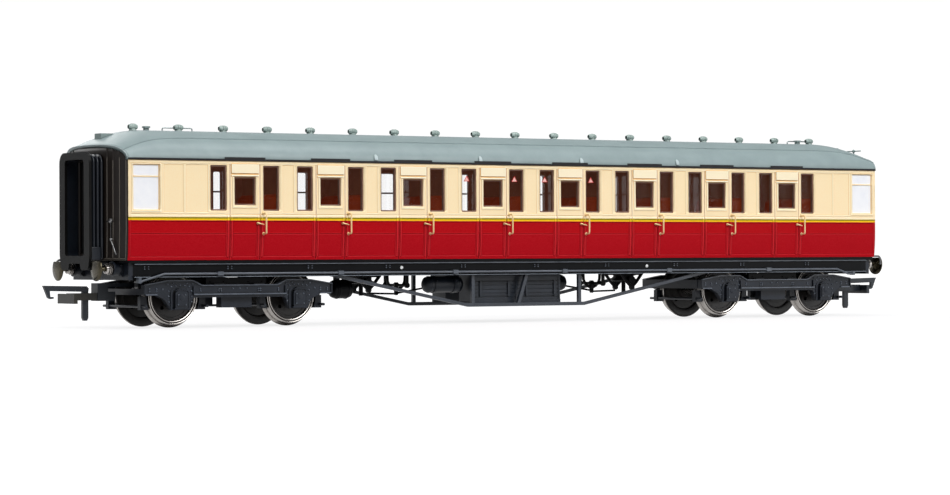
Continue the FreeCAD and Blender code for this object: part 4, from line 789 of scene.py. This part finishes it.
alarm = Shape()
alarm.tube([(122.3, -9.2, 48.3), (122.3, -3, 48.3)], 0.17)
alarm.lathe([(0.1, -0.5), (0.36, -0.34), (0.5, 0), (0.36, 0.34), (0.1, 0.5)], (122.3, -6, 48.3), "Y", 20)
alarm.tube([(122.3, -6, 46.3), (122.3, -6, 48.2)], 0.22)
piece("alarm_gear", alarm, ROOF_TRIM, "roof_fittings", crease=50)

# Door furniture


def furniture(side):
    shape = Shape()
    wall, low_wall, proud = side * (HALF_WIDTH + 0.02), side * (HALF_WIDTH - tuck(23.8)), side * 19.72
    for c in BAYS if side < 0 else FAR_DOORS:
        x = c + 5.2
        line = smooth_line([(x, wall, 29), (x, proud, 29), (x, proud, 23.8), (x, low_wall, 23.8)], 0.55, 5)
        shape.tube(line, 0.21, 12)
        for z, face in ((29, wall), (23.8, low_wall)):
            shape.lathe([(0.42, 0), (0.42, side * 0.12), (0.24, side * 0.3)], (x, face, z), "Y", 16)
        pivot = (c + 3.55, wall, 26.45)
        shape.lathe([(0.3, 0), (0.3, side * 0.3), (0.22, side * 0.62)], pivot, "Y", 16)
        tip = (c + 5.05, side * 18.75, 26.1)
        shape.tube([(c + 3.3, side * 18.62, 26.52), (c + 3.55, side * 18.68, 26.46), tip], (0.14, 0.2, 0.13))
    return shape


for label, side in SIDES:
    piece(f"door_furniture_{label}", furniture(side), HANDLE, "door_handles", crease=45)

for part, half, low, high, finish, depth in (
    ("edge", 0.95, 37.75, 39.3, LABEL_EDGE, 16.93), ("face", 0.66, 37.9, 38.98, LABEL, 16.96),
):
    labels = Shape()
    for x in (-20.1, -4.9, 4.9, 20.1):
        labels.prism([(x - half, low), (x + half, low), (x, high)], "XZ", -depth, -16.9)
    piece(f"window_label_{part}", labels, finish)


# Gangways


def gangway_face(way):
    edge = rounded([
        (-8.8, 18.6, 2), (-8, 14.7, 1.6), (-3.6, 14.7, 1.6), (-3.2, 16.4, 0.6), (3.2, 16.4, 0.6), (3.6, 14.7, 1.6),
        (8, 14.7, 1.6), (8.8, 18.6, 2), (8.8, 44.4, 2.7), (-8.8, 44.4, 2.7),
    ], 1, 7)
    hole = rectangle(-5.6, 5.6, 18.3, 42.5, 1, 6)
    return Shape().plate([edge, hole], "YZ", way * 125.9, way * 126.6)


def bellows(way):
    steps = [(125.95, 0.95)]
    for pleat in range(3):
        crest = 125.05 - 1.1 * pleat
        steps += [(crest + 0.5, 0.62), (crest + 0.24, 0.1), (crest, 0), (crest - 0.24, 0.1), (crest - 0.5, 0.62)]
        steps.append((crest - 0.55, 0.95))
    steps.append((121.9, 0.95))
    section = [(x, arch(0, 8.55 - inset, 17.5, 43.8 - inset, 0.4, 2.3, 6)) for x, inset in steps]
    inner = rectangle(-5.9, 5.9, 18.1, 42.7, 1, 6)
    section += [(121.9, inner), (125.95, inner), section[0]]
    return Shape().rings([[(way * x, y, z) for y, z in outline] for x, outline in section])


def pipework(way):
    """The cock, its pipe and the brake pipe's elbow on one end."""
    shape = Shape()

    def at(x, y, z):
        return way * x, way * y, z

    bend = (at(122.5, 12, 22.4), at(122.4, 12.6, 21.9), at(122.1, 13.2, 20.6), at(121.9, 13.7, 19.2),
            at(121.7, 14.1, 18.6))
    shape.tube(smooth_line(bend, 0.8), 0.17)
    cock = ((0.55, 0), (0.62, 0.3), (0.6, 0.7), (0.42, 0.95), (0.1, 1))
    for z, profile, sides in ((22.4, ((0.3, 0), (0.3, 0.55), (0.2, 0.65)), 16), (27, cock, 18)):
        shape.lathe([(r, way * step) for r, step in profile], at(121.9, 12, z), "X", sides)
    shape.tube([at(122.7, 13, 27.4), at(122.8, 12, 27.1), at(122.7, 11, 26.8)], 0.2)
    shape.tube([at(122.25, 12, 26.6), at(122.2, 12, 22.6)], 0.07, 8)
    elbow = at(121.7, -15.2, 17.3), at(124.5, -15.2, 17.3), at(124.5, -15.2, 14.9)
    shape.tube(smooth_line(elbow, 1.1, 5), 0.28, 12)
    return shape.lathe([(0.42, -0.5), (0.42, 0), (0.34, 0.05)], at(124.5, -15.2, 15.4), "Z", 14)


for label, way in ENDS:
    piece(f"gangway_face_{label}", gangway_face(way), FACE, "gangway_face_plates", bevel=0.2)
    piece(f"gangway_bellows_{label}", bellows(way), RUBBER, "gangway_bellows", crease=60)
    blocks = Shape()
    for y0, y1, z0, z1 in ((-6, -8.66, 17.25, 20.5), (6, 8.66, 17.25, 20.5), (-6.3, 6.3, 17.3, 18.1)):
        blocks.box(way * 123.3, way * 125.85, y0, y1, z0, z1)
    piece(f"gangway_rubbing_blocks_{label}", blocks, RUBBER, "gangway_bellows", bevel=0.18)
    leaf = Shape().box(way * 121.4, way * 122, -5.55, 5.55, 18.9, 41.9)
    for y0, y1 in ((-4.9, -0.6), (0.6, 4.9)):
        for z0, z1 in ((19.9, 26.4), (28.6, 40.9)):
            outer = rectangle(y0, y1, z0, z1, 0.3)
            inner = rectangle(y0 + 0.4, y1 - 0.4, z0 + 0.4, z1 - 0.4, 0.2)
            leaf.plate([outer, inner], "YZ", way * 121.9, way * 122.16)
    leaf.box(way * 122, way * 122.2, -0.35, 0.35, 19.2, 41.6)
    knob = [(0.35, 0), (0.3, way * 0.45), (0.5, way * 0.5), (0.45, way * 0.6)]
    leaf.lathe(knob, (way * 121.95, -3.8, 27.8), "X", 18)
    piece(f"gangway_door_{label}", leaf, DOOR, "end_doors", bevel=0.06)
    rail = Shape().tube([(way * 122.35, way * 1.2, 19.6), (way * 122.35, way * 1.2, 41.2)], 0.14, 8)
    rail.lathe([(0.2, -0.7), (0.34, -0.6), (0.34, 0.6), (0.2, 0.7)], (way * 122.35, way * 1.2, 30.6), "Z", 12)
    piece(f"gangway_door_rail_{label}", rail, DARK_WIRE, crease=45)
    piece(f"end_pipework_{label}", pipework(way), DARK_WIRE, "end_pipes", crease=45)

# Inside

CORRIDOR_REACH = (5.8, 6.5, 8.8, 7.6, 7.6, 8, 7.4, 7.4)


def saloon():
    """Floor, partitions and the corridor wall with its lights."""
    shape = Shape().box(-100.9, 100.9, -16.3, 16.3, 18.05, 18.7)
    for x in PARTITIONS:
        shape.box(x - 0.4, x + 0.4, -16.3, 6.2, 18.7, 41.5)
        for y in (-12.6, -4.4):
            shape.box(x - 0.55, x + 0.55, y - 3.4, y + 3.4, 35.6, 36)
            shape.box(x - 0.55, x + 0.55, y - 3.4, y + 3.4, 39.6, 40)
    outlines = [rectangle(-100.4, 100.4, 18.7, 41.5)]
    for c, reach in zip(BAYS, CORRIDOR_REACH):
        for low, high in ((c - 10.6, c - 4.2), (c - 3.2, c + 2.7), (c + 3.6, c + reach)):
            outlines.append(rectangle(low, high, 27.5, 40.2, 0.4, 3))
    return shape.plate(outlines, "XZ", 6.2, 6.8)


piece("saloon_moulding", saloon(), SALOON, "inside_moulding")


def benches():
    """Padded-looking moulded benches back to back in every compartment."""
    shape = Shape()
    profile = rounded([
        (0.45, 18.75), (6.4, 18.75, 0.3), (6.9, 23.2, 0.6), (7.15, 24.2, 0.8), (2.9, 23.6, 0.5), (2.1, 33.1, 0.7),
        (0.9, 34, 0.6), (0.45, 34),
    ], 0.2, 4)
    for x in PARTITIONS:
        for way in SIGNS:
            if abs(x + way * 5) > 100:
                continue
            outline = [(x + way * a, b) for a, b in profile][::way]
            for y0, y1 in ((-15.9, -9), (-8.8, -1.9), (-1.7, 5.4)):
                shape.prism(outline, "XZ", y0, y1)
    return shape


piece("bench_cushions", benches(), SEAT, "bench_seats", bevel=0.12)

# Roof edge and solebars

hoops = Shape()
for side in SIGNS:
    for x in (-48.8, -16.4, 16.4, 48.8):
        rows = []
        for share in (k / 8 for k in range(9)):
            z = 42.95 + 1.55 * share
            wide = 0.52 * sqrt(max(1 - max(share - 0.45, 0) ** 2 / 0.31, 0.02))
            y = HALF_WIDTH * sqrt(1 - ((z - SPRING) / RISE) ** 2) + 0.08
            corners = ((-wide, y), (-wide, y + 0.26), (wide, y + 0.26), (wide, y))
            rows.append([(x + dx, side * out, z) for dx, out in corners])
        hoops.rings(rows)
piece("board_brackets", hoops, HOOP, "roof_board_brackets", bevel=0.06)

bolts, plates, dots = Shape(), Shape(), Shape()
for side in SIGNS:
    for index in range(-5, 5):
        x = -side * (23.4 * index + 2.6)
        for dx in (-0.55, 0.55):
            for z in (15.5, 14.95):
                bolts.dome((x + dx, side * 16.1, z), (0, side, 0), 0.22, 0.2)
        plates.box(x - 0.95, x + 0.95, side * 16.08, side * 16.2, 14.65, 15.85)
    for x in (-40, 39.5):
        dots.lathe([(0.44, 0), (0.44, side * 0.1), (0.3, side * 0.16)], (x, side * 16.1, 14.9), "Y", 14)
# The solebar bolts take the lighter edge paint, a painted highlight.
piece("solebar_bolts", bolts, EDGE)
piece("solebar_pads", plates, UNDER, bevel=0.04)
# Thin pale strips along the top and bottom solebar flanges: a painted highlight.
lines = Shape()
for side in SIGNS:
    for low, high, radius, out in ((16.02, 16.3, 0.1, 16.78), (12.84, 13, 0.06, 16.74)):
        lines.prism(rectangle(-118, 118, low, high, radius, 2), "XZ", side * 16.6, side * out)
piece("solebar_edges", lines, FLANGE_HIGHLIGHT, bevel=0.04)
piece("solebar_marks", dots, MARK)


# Underframe equipment


def battery_box():
    """Planked battery box of the near side: doors with straps and frames."""
    shape = Shape().box(-16, 12.4, -13, -6.3, 5.7, 16.3)
    for low in (5.75 + 1.08 * plank for plank in range(7)):
        shape.box(-15.9, 12.3, -13.16, -12.9, low, min(low + 0.98, 12.75))
    for x0, x1 in ((-13.6, -4.6), (1.2, 10.4)):
        for x in (x0, x1):
            shape.box(x - 0.32, x + 0.32, -13.52, -13, 6.9, 11.1)
            for z in (7.3, 10.7):
                shape.dome((x, -13.5, z), -Y, 0.16)
        shape.box(x0, x1, -13.42, -13, 10.55, 10.85)
        shape.box(x0, x1, -13.42, -13, 7.15, 7.45)
        shape.box(x0 + 0.5, x1 - 0.5, -13.36, -13, 8.9, 9.12)
    for x in (-15.6, -2, 12):
        shape.box(x - 0.3, x + 0.3, -13.35, -13, 5.7, 12.75)
    shape.box(-16, 12.4, -13.34, -12.6, 5, 6.1)
    shape.box(-16, 12.4, -13.3, -13, 12.1, 12.5)
    for x in (-14.2, -9.8, -5.4, 3.2, 7.6, 11.2):
        shape.dome((x, -13.3, 5.86), -Y, 0.2)
    return shape


def reservoir():
    """Vacuum reservoir with domed ends and two straps."""
    shape = Shape()
    shape.lathe([
        (0.3, -6), (1.2, -5.9), (1.9, -5.4), (2.18, -4.8), (2.25, -4.6), (2.25, -4.2), (2.16, -4.1), (2.16, 4.1),
        (2.25, 4.2), (2.25, 4.6), (2.18, 4.8), (1.9, 5.4), (1.2, 5.9), (0.3, 6),
    ], (-23, -9, 10.3), "X", 40)
    for x in (-26, -20):
        shape.lathe([(2.2, -0.35), (2.34, -0.35), (2.34, 0.35), (2.2, 0.35)], (x, -9, 10.3), "X", 40)
        shape.box(x - 0.35, x + 0.35, -9.5, -8.5, 12, 16.4)
        shape.nut((x, -11.2, 11.3), (0, -0.8, 0.6), 0.25, 0.25)
    return shape


boxes = battery_box().join(battery_box().mirrored(-1, -1))
piece("battery_cases", boxes, BOX_BLACK, "battery_boxes", bevel=0.07)
tanks = reservoir().join(reservoir().mirrored(-1, -1))
piece("reservoirs", tanks, BOX_BLACK, "vacuum_reservoirs")


def cylinder_gear(x):
    """Vacuum cylinder in its open bracket of crossed legs."""
    shape = Shape()
    shape.lathe([(3.3, 0), (3.6, 0.15), (3.6, 0.6), (2.9, 0.8), (2.9, 2.2), (2.4, 2.6)], (x, 0, 10.6), "Z", 32)
    shape.lathe([(0.55, -3.4), (0.6, -3.2), (0.6, 0)], (x, 0, 10.8), "Z", 16)
    shape.box(x - 3.7, x + 3.7, -4.2, 4.2, 12.3, 13.1)
    for side in SIGNS:
        y = side * 4
        for way in SIGNS:
            shape.tube([(x + way * 3.6, y, 12.9), (x + way * 1.6, y, 10.4), (x, y, 8.9)], 0.46)
        shape.lathe([(1.1, -0.34), (1.1, 0.34)], (x, y, 10.9), "Y", 20)
        shape.lathe([(0.75, -0.42), (0.75, 0.42)], (x, y, 8.9), "Y", 18)
        shape.tube([(x, y, 12.8), (x, y, 9)], 0.4, 8)
    return shape


piece("brake_cylinders", cylinder_gear(-43).join(cylinder_gear(43)), UNDER, "vacuum_cylinders")


def loop_hanger(x, y):
    """A safety loop hung from the underframe."""
    turns = (pi * (1 + k / 12) for k in range(1, 12))
    bow = [(x + 2.8 * cos(t), y, 12 + 3 * sin(t)) for t in turns]
    legs = [(x - 2.8, y, 16.2), (x - 2.8, y, 12.6)], [(x + 2.8, y, 12.6), (x + 2.8, y, 16.2)]
    return Shape().tube([*legs[0], *bow, *legs[1]], 0.42)


linkage = Shape()
for way in SIGNS:
    x = way * 32
    linkage.tube([(x, -6, 10.1), (x, 6, 10.1)], 0.42, 12)
    linkage.join(loop_hanger(x, 0))
    for y in (-5.6, 5.6):
        linkage.lathe([(0.75, -0.35), (0.75, 0.35)], (x, y, 10.1), "Y", 16)
        linkage.box(x - 0.4, x + 0.4, y - 0.3, y + 0.3, 10.1, 16.4)
    crank = rounded([(x - 0.6, 10.9), (x + 0.6, 10.9), (x + 0.4, 7.4), (x - 0.4, 7.4)], 0.35, 4)
    linkage.prism(crank, "XZ", -0.4, 0.4)
    linkage.tube([(x, 0.7, 7.8), (x + way * 8.5, 0.7, 8)], 0.26, 8)
    linkage.tube([(x, -0.7, 8), (x - way * 9, -0.7, 9.4)], 0.26, 8)
piece("brake_shafts", linkage, UNDER, "brake_linkage")

generator = Shape()
generator.lathe([
    (0.5, -3.4), (0.9, -3.2), (1.5, -3.1), (2.1, -2.8), (2.3, -2.4), (2.3, -2), (2.5, -1.9), (2.5, 1.7), (2.3, 1.8),
    (2.3, 2.2), (2.1, 2.6), (1.5, 2.9), (0.5, 3),
], (-52.1, -5, 9.3), "X", 36)
generator.lathe([(0.9, -4), (1.3, -3.9), (1.1, -3.6), (1.3, -3.3), (0.6, -3.2)], (-52.1, -5, 9.3), "X", 28)
for x in (-53.4, -50.8):
    generator.lathe([(2.48, -0.2), (2.6, -0.2), (2.6, 0.2), (2.48, 0.2)], (x, -5, 9.3), "X", 36)
    generator.box(x - 0.35, x + 0.35, -6.2, -3.8, 11.2, 16.4)
piece("generator_casing", generator, UNDER, "dynamo", bevel=0.08)

# Buffers


def head_shape(y):
    """A sprung buffer's head, flattened at its top, and its shank."""
    head = Shape().lathe([
        (0.6, 118.95), (0.6, 121.2), (1.2, 121.22), (1.2, 121.5), (0.6, 121.55), (0.6, 125), (0.95, 125.3),
        (1.9, 125.55), (2.9, 125.68), (3.04, 125.78), (3.05, 126), (2.9, 126.12), (1.6, 126.24), (0.05, 126.29),
    ], (0, y, BUFFER_Z), "X", 48)
    for p in head.points:
        if p.x > 125.2:
            p.z = min(p.z, 16.9)
    return head


def housing_shape(y):
    """The black base and body of a buffer housing."""
    shape = Shape().prism(rectangle(y - 1.95, y + 1.95, 13.05, 16.3, 0.4), "YZ", 119.4, 119.85)
    for dy in (-1.5, 1.5):
        for z in (13.5, 15.9):
            shape.nut((119.85, y + dy, z), X, 0.28, 0.25)
    return shape.lathe([
        (1, 119.4), (1.9, 119.4), (1.75, 120), (1.6, 121), (1.62, 121.35), (1.95, 121.4), (1.98, 121.8),
        (0.9, 121.85),
    ], (0, y, BUFFER_Z), "X", 40)


def ring_shape(y):
    """The bright stepped collars at a housing's mouth."""
    return Shape().lathe([
        (0.7, 121.8), (1.42, 121.8), (1.5, 121.95), (1.5, 122.25), (1.3, 122.35), (1.3, 122.5), (1.5, 122.6),
        (1.5, 122.7), (1.15, 122.8), (1.25, 122.9), (1.25, 123.5), (1.15, 123.6), (0.7, 123.6), (0.7, 121.8),
    ], (0, y, BUFFER_Z), "X", 40)


def spring_shape(way, y):
    """The coil between the headstock and a buffer's collar."""
    line = []
    for share in (k / 60 for k in range(61)):
        turn = 5 * pi * share
        line.append((way * (119.58 + 1.44 * share), y + 0.98 * cos(turn), BUFFER_Z + 0.98 * sin(turn)))
    return Shape().tube(line, 0.13, 8)


bases, collars = Shape(), Shape()
for label, way in ENDS:
    for side_name, side in SIDES:
        y = side * BUFFER_Y
        bases.join(housing_shape(y).mirrored(way))
        collars.join(ring_shape(y).mirrored(way))
        name = f"{label}_{side_name}_buffer"
        piece(f"{name}_head", head_shape(y).mirrored(way), BUFFER, name, name, crease=35)
        coil = piece(f"{name}_spring", spring_shape(way, y), BRIGHT, "buffer_springs")
        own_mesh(coil)
piece("buffer_bases", bases, BOGIE, "buffer_housings", crease=35)
piece("buffer_collars", collars, STEEL, "buffer_housings", crease=30)

# Bogies


def bogie_side_shape():
    """The near side frame about its pivot: the web with its boxes, and its flanges and rivets, which are in a
    lighter paint as a painted highlight.
    """
    shape, bright = Shape(), Shape()

    def rivets(points):
        for x, z in points:
            bright.dome((x, -13.95, z), -Y, 0.25, 0.28)

    half_top = ((27.1, 11.05, 0.3), (20.6, 12.1, 2), (13.4, 12.1, 2), (10.9, 10.85, 1))
    half_low = ((27.1, 8.3, 0.3), (23.6, 8.3, 0.8), (21.4, 7.2, 1.5), (19.9, 5.2, 0.8), (19.32, 4.5, 0.3),
                (14.68, 4.5, 0.3), (14.1, 5.2, 0.8), (13.3, 7.65, 0.8))
    top = [(-x, z, r) for x, z, r in half_top] + [*half_top[::-1]]
    low = [*half_low] + [(-x, z, r) for x, z, r in half_low[::-1]]
    shape.prism(rounded(top + low, 0.4), "XZ", -13.95, -12.25)
    crest = rounded(top + [(27, 0), (-27, 0)], 0.4, 6)
    crest = sorted({(round(x, 3), round(z, 3)) for x, z in crest if z > 10.5})
    for (x0, z0), (x1, z1) in zip(crest, crest[1:]):
        down = Vector((z0 - z1, x1 - x0)).normalized() * 0.26
        flange = [(x0, z0), (x1, z1), (x1 - down.x, z1 - down.y), (x0 - down.x, z0 - down.y)]
        bright.prism(flange, "XZ", -14.34, -12.2)
    bright.box(-13.3, 13.3, -14.62, -13.9, 8.3, 8.62)
    for way in SIGNS:
        axle = way * AXLE_X
        shape.box(axle - way * 3.62, axle - way * 3.95, -14.4, -13.9, 8.3, 10.6)
        bright.box(axle + way * 6.5, way * 27.05, -14.3, -13.9, 8.32, 8.62)
        shape.box(way * 26.75, way * 27.08, -14.3, -13.9, 8.3, 11)
        hood = arch(axle, 2.75, 4.6, 9.9, 0.2, 1, 7), arch(axle, 2.25, 4.8, 9.6, 0.1, 0.9, 7)
        shape.plate(hood, "XZ", -14.2, -13.9)
        shape.prism(arch(axle, 1.75, 5.15, 9.3, 0.3, 0.7, 5), "XZ", -14.95, -13.9)
        shape.prism(arch(axle, 1.35, 5.6, 8.8, 0.3, 0.9, 6), "XZ", -15.16, -14.9)
        shape.lathe([(0.75, 0), (0.7, -0.12), (0.5, -0.16)], (axle, -15.12, 7.7), "Y", 20)
        for dx, dz in ((-1.1, 5.9), (1.1, 5.9), (-1, 8.4), (1, 8.4)):
            bright.nut((axle + dx, -15.14, dz), -Y, 0.19, 0.12)
        shape.box(axle - 1.95, axle + 1.95, -15, -13.9, 4.75, 5.15)
        for step in range(4):
            reach = 1.7 - 0.32 * step
            shape.box(axle - reach, axle + reach, -14.75, -13.9, 9.42 + 0.17 * step, 9.55 + 0.17 * step)
        rivets((axle + dx, 10.75 - 0.04 * dx * dx) for dx in (-2.5, -1.25, 0, 1.25, 2.5))
        rivets((axle + dx, 11.35 - 0.02 * dx * dx) for dx in (-3.5, -1.9, 1.9, 3.5))
        rivets((axle + dx, z) for dx in (-3.2, 3.2) for z in (6.6, 8, 9.3))
        rivets((way * x, z) for x, z in ((21.9, 9.8), (23.6, 9.9), (23.6, 9.35), (25.6, 9.9), (25.6, 9.35),
                                         (11.2, 9.8), (11.2, 9.3)))
        rivets((way * x, z) for x in (5.42, 5.98) for z in (9.75, 9.2))
        shape.box(way * 4.3, way * 7.2, -13.8, -12.6, 10.8, 11.12)
    rivets((x, 9.9) for x in (-2, 0, 2))
    return shape, bright


def wheel_shapes(x, side):
    """Steel tyre, dark face and dark back of one wheel."""
    tyre, face, back = Shape(), Shape(), Shape()

    def turn(shape, profile, sides):
        shape.lathe([(r, side * y) for r, y in profile], (x, 0, AXLE_Z), "Y", sides)

    turn(tyre, [
        (5.72, 7.5), (7.2, 7.45), (7.52, 7.46), (7.68, 7.58), (7.69, 7.7), (7.62, 7.82), (7.28, 8), (7.1, 8.12),
        (7.03, 8.4), (6.97, 9.78), (6.88, 10), (6.74, 10.05), (6.6, 9.98), (6.52, 9.6), (6.4, 9.6), (6.32, 9.92),
        (6.14, 9.98), (6, 9.92), (5.92, 9.5), (5.74, 9.3), (5.72, 7.5),
    ], 80)
    hub = Vector((x, AXLE_Z))
    outlines = [circle(hub, Vector((1, 0)), Vector((0, 1)), 5.8, 72)]
    for turned in (radians(45 + 90 * k) for k in range(4)):
        hole = hub + Vector((cos(turned), sin(turned))) * 3.8
        outlines.append(circle(hole, Vector((1, 0)), Vector((0, 1)), 0.5, 16))
    face.plate(outlines, "XZ", side * 8.35, side * 9.05)
    turn(face, [(4.95, 9), (5.05, 9.22), (5.6, 9.34), (5.76, 9.3), (5.76, 9)], 64)
    turn(face, [(1, 8.9), (2.1, 8.9), (1.95, 9.3), (1.7, 9.6), (1, 9.62)], 40)
    back.plate(outlines, "XZ", side * 7.9, side * 8.35)
    turn(back, [(1, 7.95), (2.1, 7.9), (1.9, 7.45), (1, 7.4)], 40)
    turn(back, [
        (5.2, 8.1), (5.3, 7.6), (5.7, 7.34), (7.1, 7.26), (7.4, 7.3), (7.54, 7.42), (7.5, 7.52), (5.8, 7.56),
        (5.74, 8.1), (5.2, 8.1),
    ], 80)
    return tyre, face, back


for label, way in ENDS:
    middle = way * BOGIE_X
    bogie = f"{label}_bogie"
    # The side edge parts are the flanges and rivets in the lighter paint, a painted highlight.
    for part, finish, near in zip(("side_frames", "side_edges"), (BOGIE, EDGE), bogie_side_shape()):
        pair = near.moved(middle).join(near.mirrored(1, -1).moved(middle))
        piece(f"{bogie}_{part}", pair, finish, f"{bogie}_sides", bogie)
    transoms = Shape()
    for side in SIGNS:
        transoms.box(middle - 8.7, middle + 8.7, side * 11.5, side * 12, 10.2, 12.7)
        transoms.box(middle + side * 6.2, middle + side * 8.7, -11.6, 11.6, 10, 12.2)
        for x in (-7.4, -3.6, 3.6, 7.4):
            transoms.dome((middle + x, side * 12, 11.6), Y * side, 0.22, 0.2)
    piece(f"{bogie}_transoms", transoms, UNDER, body=bogie, bevel=0.08)
    for axle, x in (("outer", middle + way * AXLE_X), ("inner", middle - way * AXLE_X)):
        for side_name, side in SIDES:
            for part, shape, finish in zip(("tyre", "face", "back"), wheel_shapes(x, side), (STEEL, WHEEL, BACK)):
                piece(f"{label}_{axle}_{side_name}_{part}", shape, finish, f"{label}_{axle}_wheels",
                      f"{label}_{axle}_wheelset", crease=35)

# CAD nodes that stay, with their materials

KEEP = {
    "roof_rain_strips": ROOF, "gutter_strips": BLACK, "glazing_strips": GLAZING, "lavatory_panes": OPAL,
    "chassis_floor": UNDER, "solebars": UNDER, "headstocks": BOGIE, "solebar_pipes": PIPE, "side_trusses": TRUSS,
    "corridor_handrail": FRAME_BROWN, "ballast_plate": STEEL, "body_screws": BRIGHT, "pivot_screws": BRIGHT,
    "front_coupling_head": BAR, "rear_coupling_head": COUPLING,
}
KEEP_AT_ENDS = {
    "bogie_frame": BOGIE, "brake_gear": BOGIE, "axle_bearings": BRASS, "outer_axle": STEEL, "inner_axle": STEEL,
    "coupling_arm": COUPLING, "coupling_hook": COUPLING,
}
for label, way in ENDS:
    KEEP.update({f"{label}_{name}": material for name, material in KEEP_AT_ENDS.items()})
for name, material in KEEP.items():
    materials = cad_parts[name].data.materials
    materials.clear()
    materials.append(material)

# Stage


def pale_floor():
    """A pale floor that glows for the camera, and less for reflections; the glow is dimmer near the coach, a
    painted shadow.
    """
    material, tree, shader = blank("pale_floor")
    set_shader(shader, 0.6, 0, 0.1)
    shader.inputs["Base Color"].default_value = (0.165, 0.165, 0.17, 1)
    spot = tree.nodes.new("ShaderNodeTexCoord").outputs["Object"]
    reach = node(tree, "ShaderNodeVectorMath", spot, operation="LENGTH").outputs["Value"]
    ray = tree.nodes.new("ShaderNodeLightPath").outputs
    gloss = ranged(tree, ray["Is Glossy Ray"], 0, 1, 0, 0.7)
    seen = node(tree, "ShaderNodeMath", ray["Is Camera Ray"], gloss, operation="MAXIMUM").outputs[0]
    # Dimmer glow near the middle: a painted shadow around the coach.
    glow = ranged(tree, reach, 0.2, 0.9, 0.78, 1)
    strength = node(tree, "ShaderNodeMath", glow, seen, operation="MULTIPLY").outputs[0]
    light = node(tree, "ShaderNodeEmission", Color=(1, 1, 1, 1))
    tree.links.new(strength, light.inputs["Strength"])
    both = node(tree, "ShaderNodeAddShader", shader.outputs[0], light.outputs[0])
    tree.links.new(both.outputs[0], tree.nodes["Material Output"].inputs["Surface"])
    return material


floor_mesh = bpy.data.meshes.new("floor")
floor_mesh.from_pydata([(-40, -40, 0), (40, -40, 0), (40, 60, 0), (-40, 60, 0)], [], [(0, 1, 2, 3)])
floor_mesh.materials.append(pale_floor())
floor = add_to_scene("floor", floor_mesh)

# A soft sky that is white to the camera and through glass.
world = bpy.data.worlds.new("studio")
bpy.context.scene.world = world
world.use_nodes = True
tree = world.node_tree
sky = tree.nodes.new("ShaderNodeTexCoord").outputs["Generated"]
height = node(tree, "ShaderNodeSeparateXYZ", sky).outputs["Z"]
dim = tree.nodes["Background"]
dim.inputs["Color"].default_value = (0.97, 0.98, 1, 1)
tree.links.new(ranged(tree, height, 0.06, 0.42, 0.52, 0.24), dim.inputs["Strength"])
white = node(tree, "ShaderNodeBackground", Color=(1, 1, 1, 1), Strength=1.02)
ray = tree.nodes.new("ShaderNodeLightPath").outputs
seen = node(tree, "ShaderNodeMath", ray["Is Camera Ray"], ray["Is Transmission Ray"], operation="MAXIMUM")
sky_mix = node(tree, "ShaderNodeMixShader", seen.outputs[0], dim.outputs[0], white.outputs[0])
tree.links.new(sky_mix.outputs[0], tree.nodes["World Output"].inputs["Surface"])

# Name, place, target, size and watts of each soft light.
for name, spot, target, size, energy in (
    ("key", (0.1, -1, 0.8), (0, 0, 0.03), (1.5, 0.5), 14.8),
    ("top", (0, -0.05, 1.2), (0, 0, 0.03), (1.4, 0.5), 9.6),
    ("side_strip", (0.85, -0.95, 0.12), (0.09, -0.018, 0.03), (0.25, 0.5), 1),
    ("back_fill", (-0.2, 1.1, 0.6), (0, 0, 0.03), (1.2, 0.5), 6.5),
    ("end_strip", (-0.95, -0.1, 0.25), (-0.12, 0, 0.03), (0.3, 0.5), 0.35),
):
    lamp = bpy.data.lights.new(name, "AREA")
    lamp.shape = "RECTANGLE"
    lamp.size, lamp.size_y = size
    lamp.energy = energy
    thing = add_to_scene(name, lamp)
    thing.location = spot
    thing.rotation_euler = (Vector(target) - Vector(spot)).to_track_quat("-Z", "Y").to_euler()

# Camera

PHOTO_WIDTH = 950
FOCAL_PIXELS = 2981
SENSOR = 36
CAMERA_SPOT = (-0.4464, -0.6870, 0.0176)
YAW, PITCH, ROLL = (radians(a) for a in (32.618, 0.182, -0.257))
forward = Vector((sin(YAW) * cos(PITCH), cos(YAW) * cos(PITCH), sin(PITCH)))
right = Vector((cos(YAW), -sin(YAW), 0))
up = right.cross(forward)
right, up = right * cos(ROLL) + up * sin(ROLL), up * cos(ROLL) - right * sin(ROLL)
view = bpy.data.cameras.new("camera")
view.sensor_width = SENSOR
view.lens = FOCAL_PIXELS * SENSOR / PHOTO_WIDTH
view.clip_start = 0.01
view.clip_end = 200
camera = add_to_scene("camera", view)
camera.matrix_world = Matrix.Translation(CAMERA_SPOT) @ Matrix((right, up, -forward)).transposed().to_4x4()
scene = bpy.context.scene
scene.camera = camera
scene.view_settings.view_transform = "Standard"
scene.view_settings.look = "None"
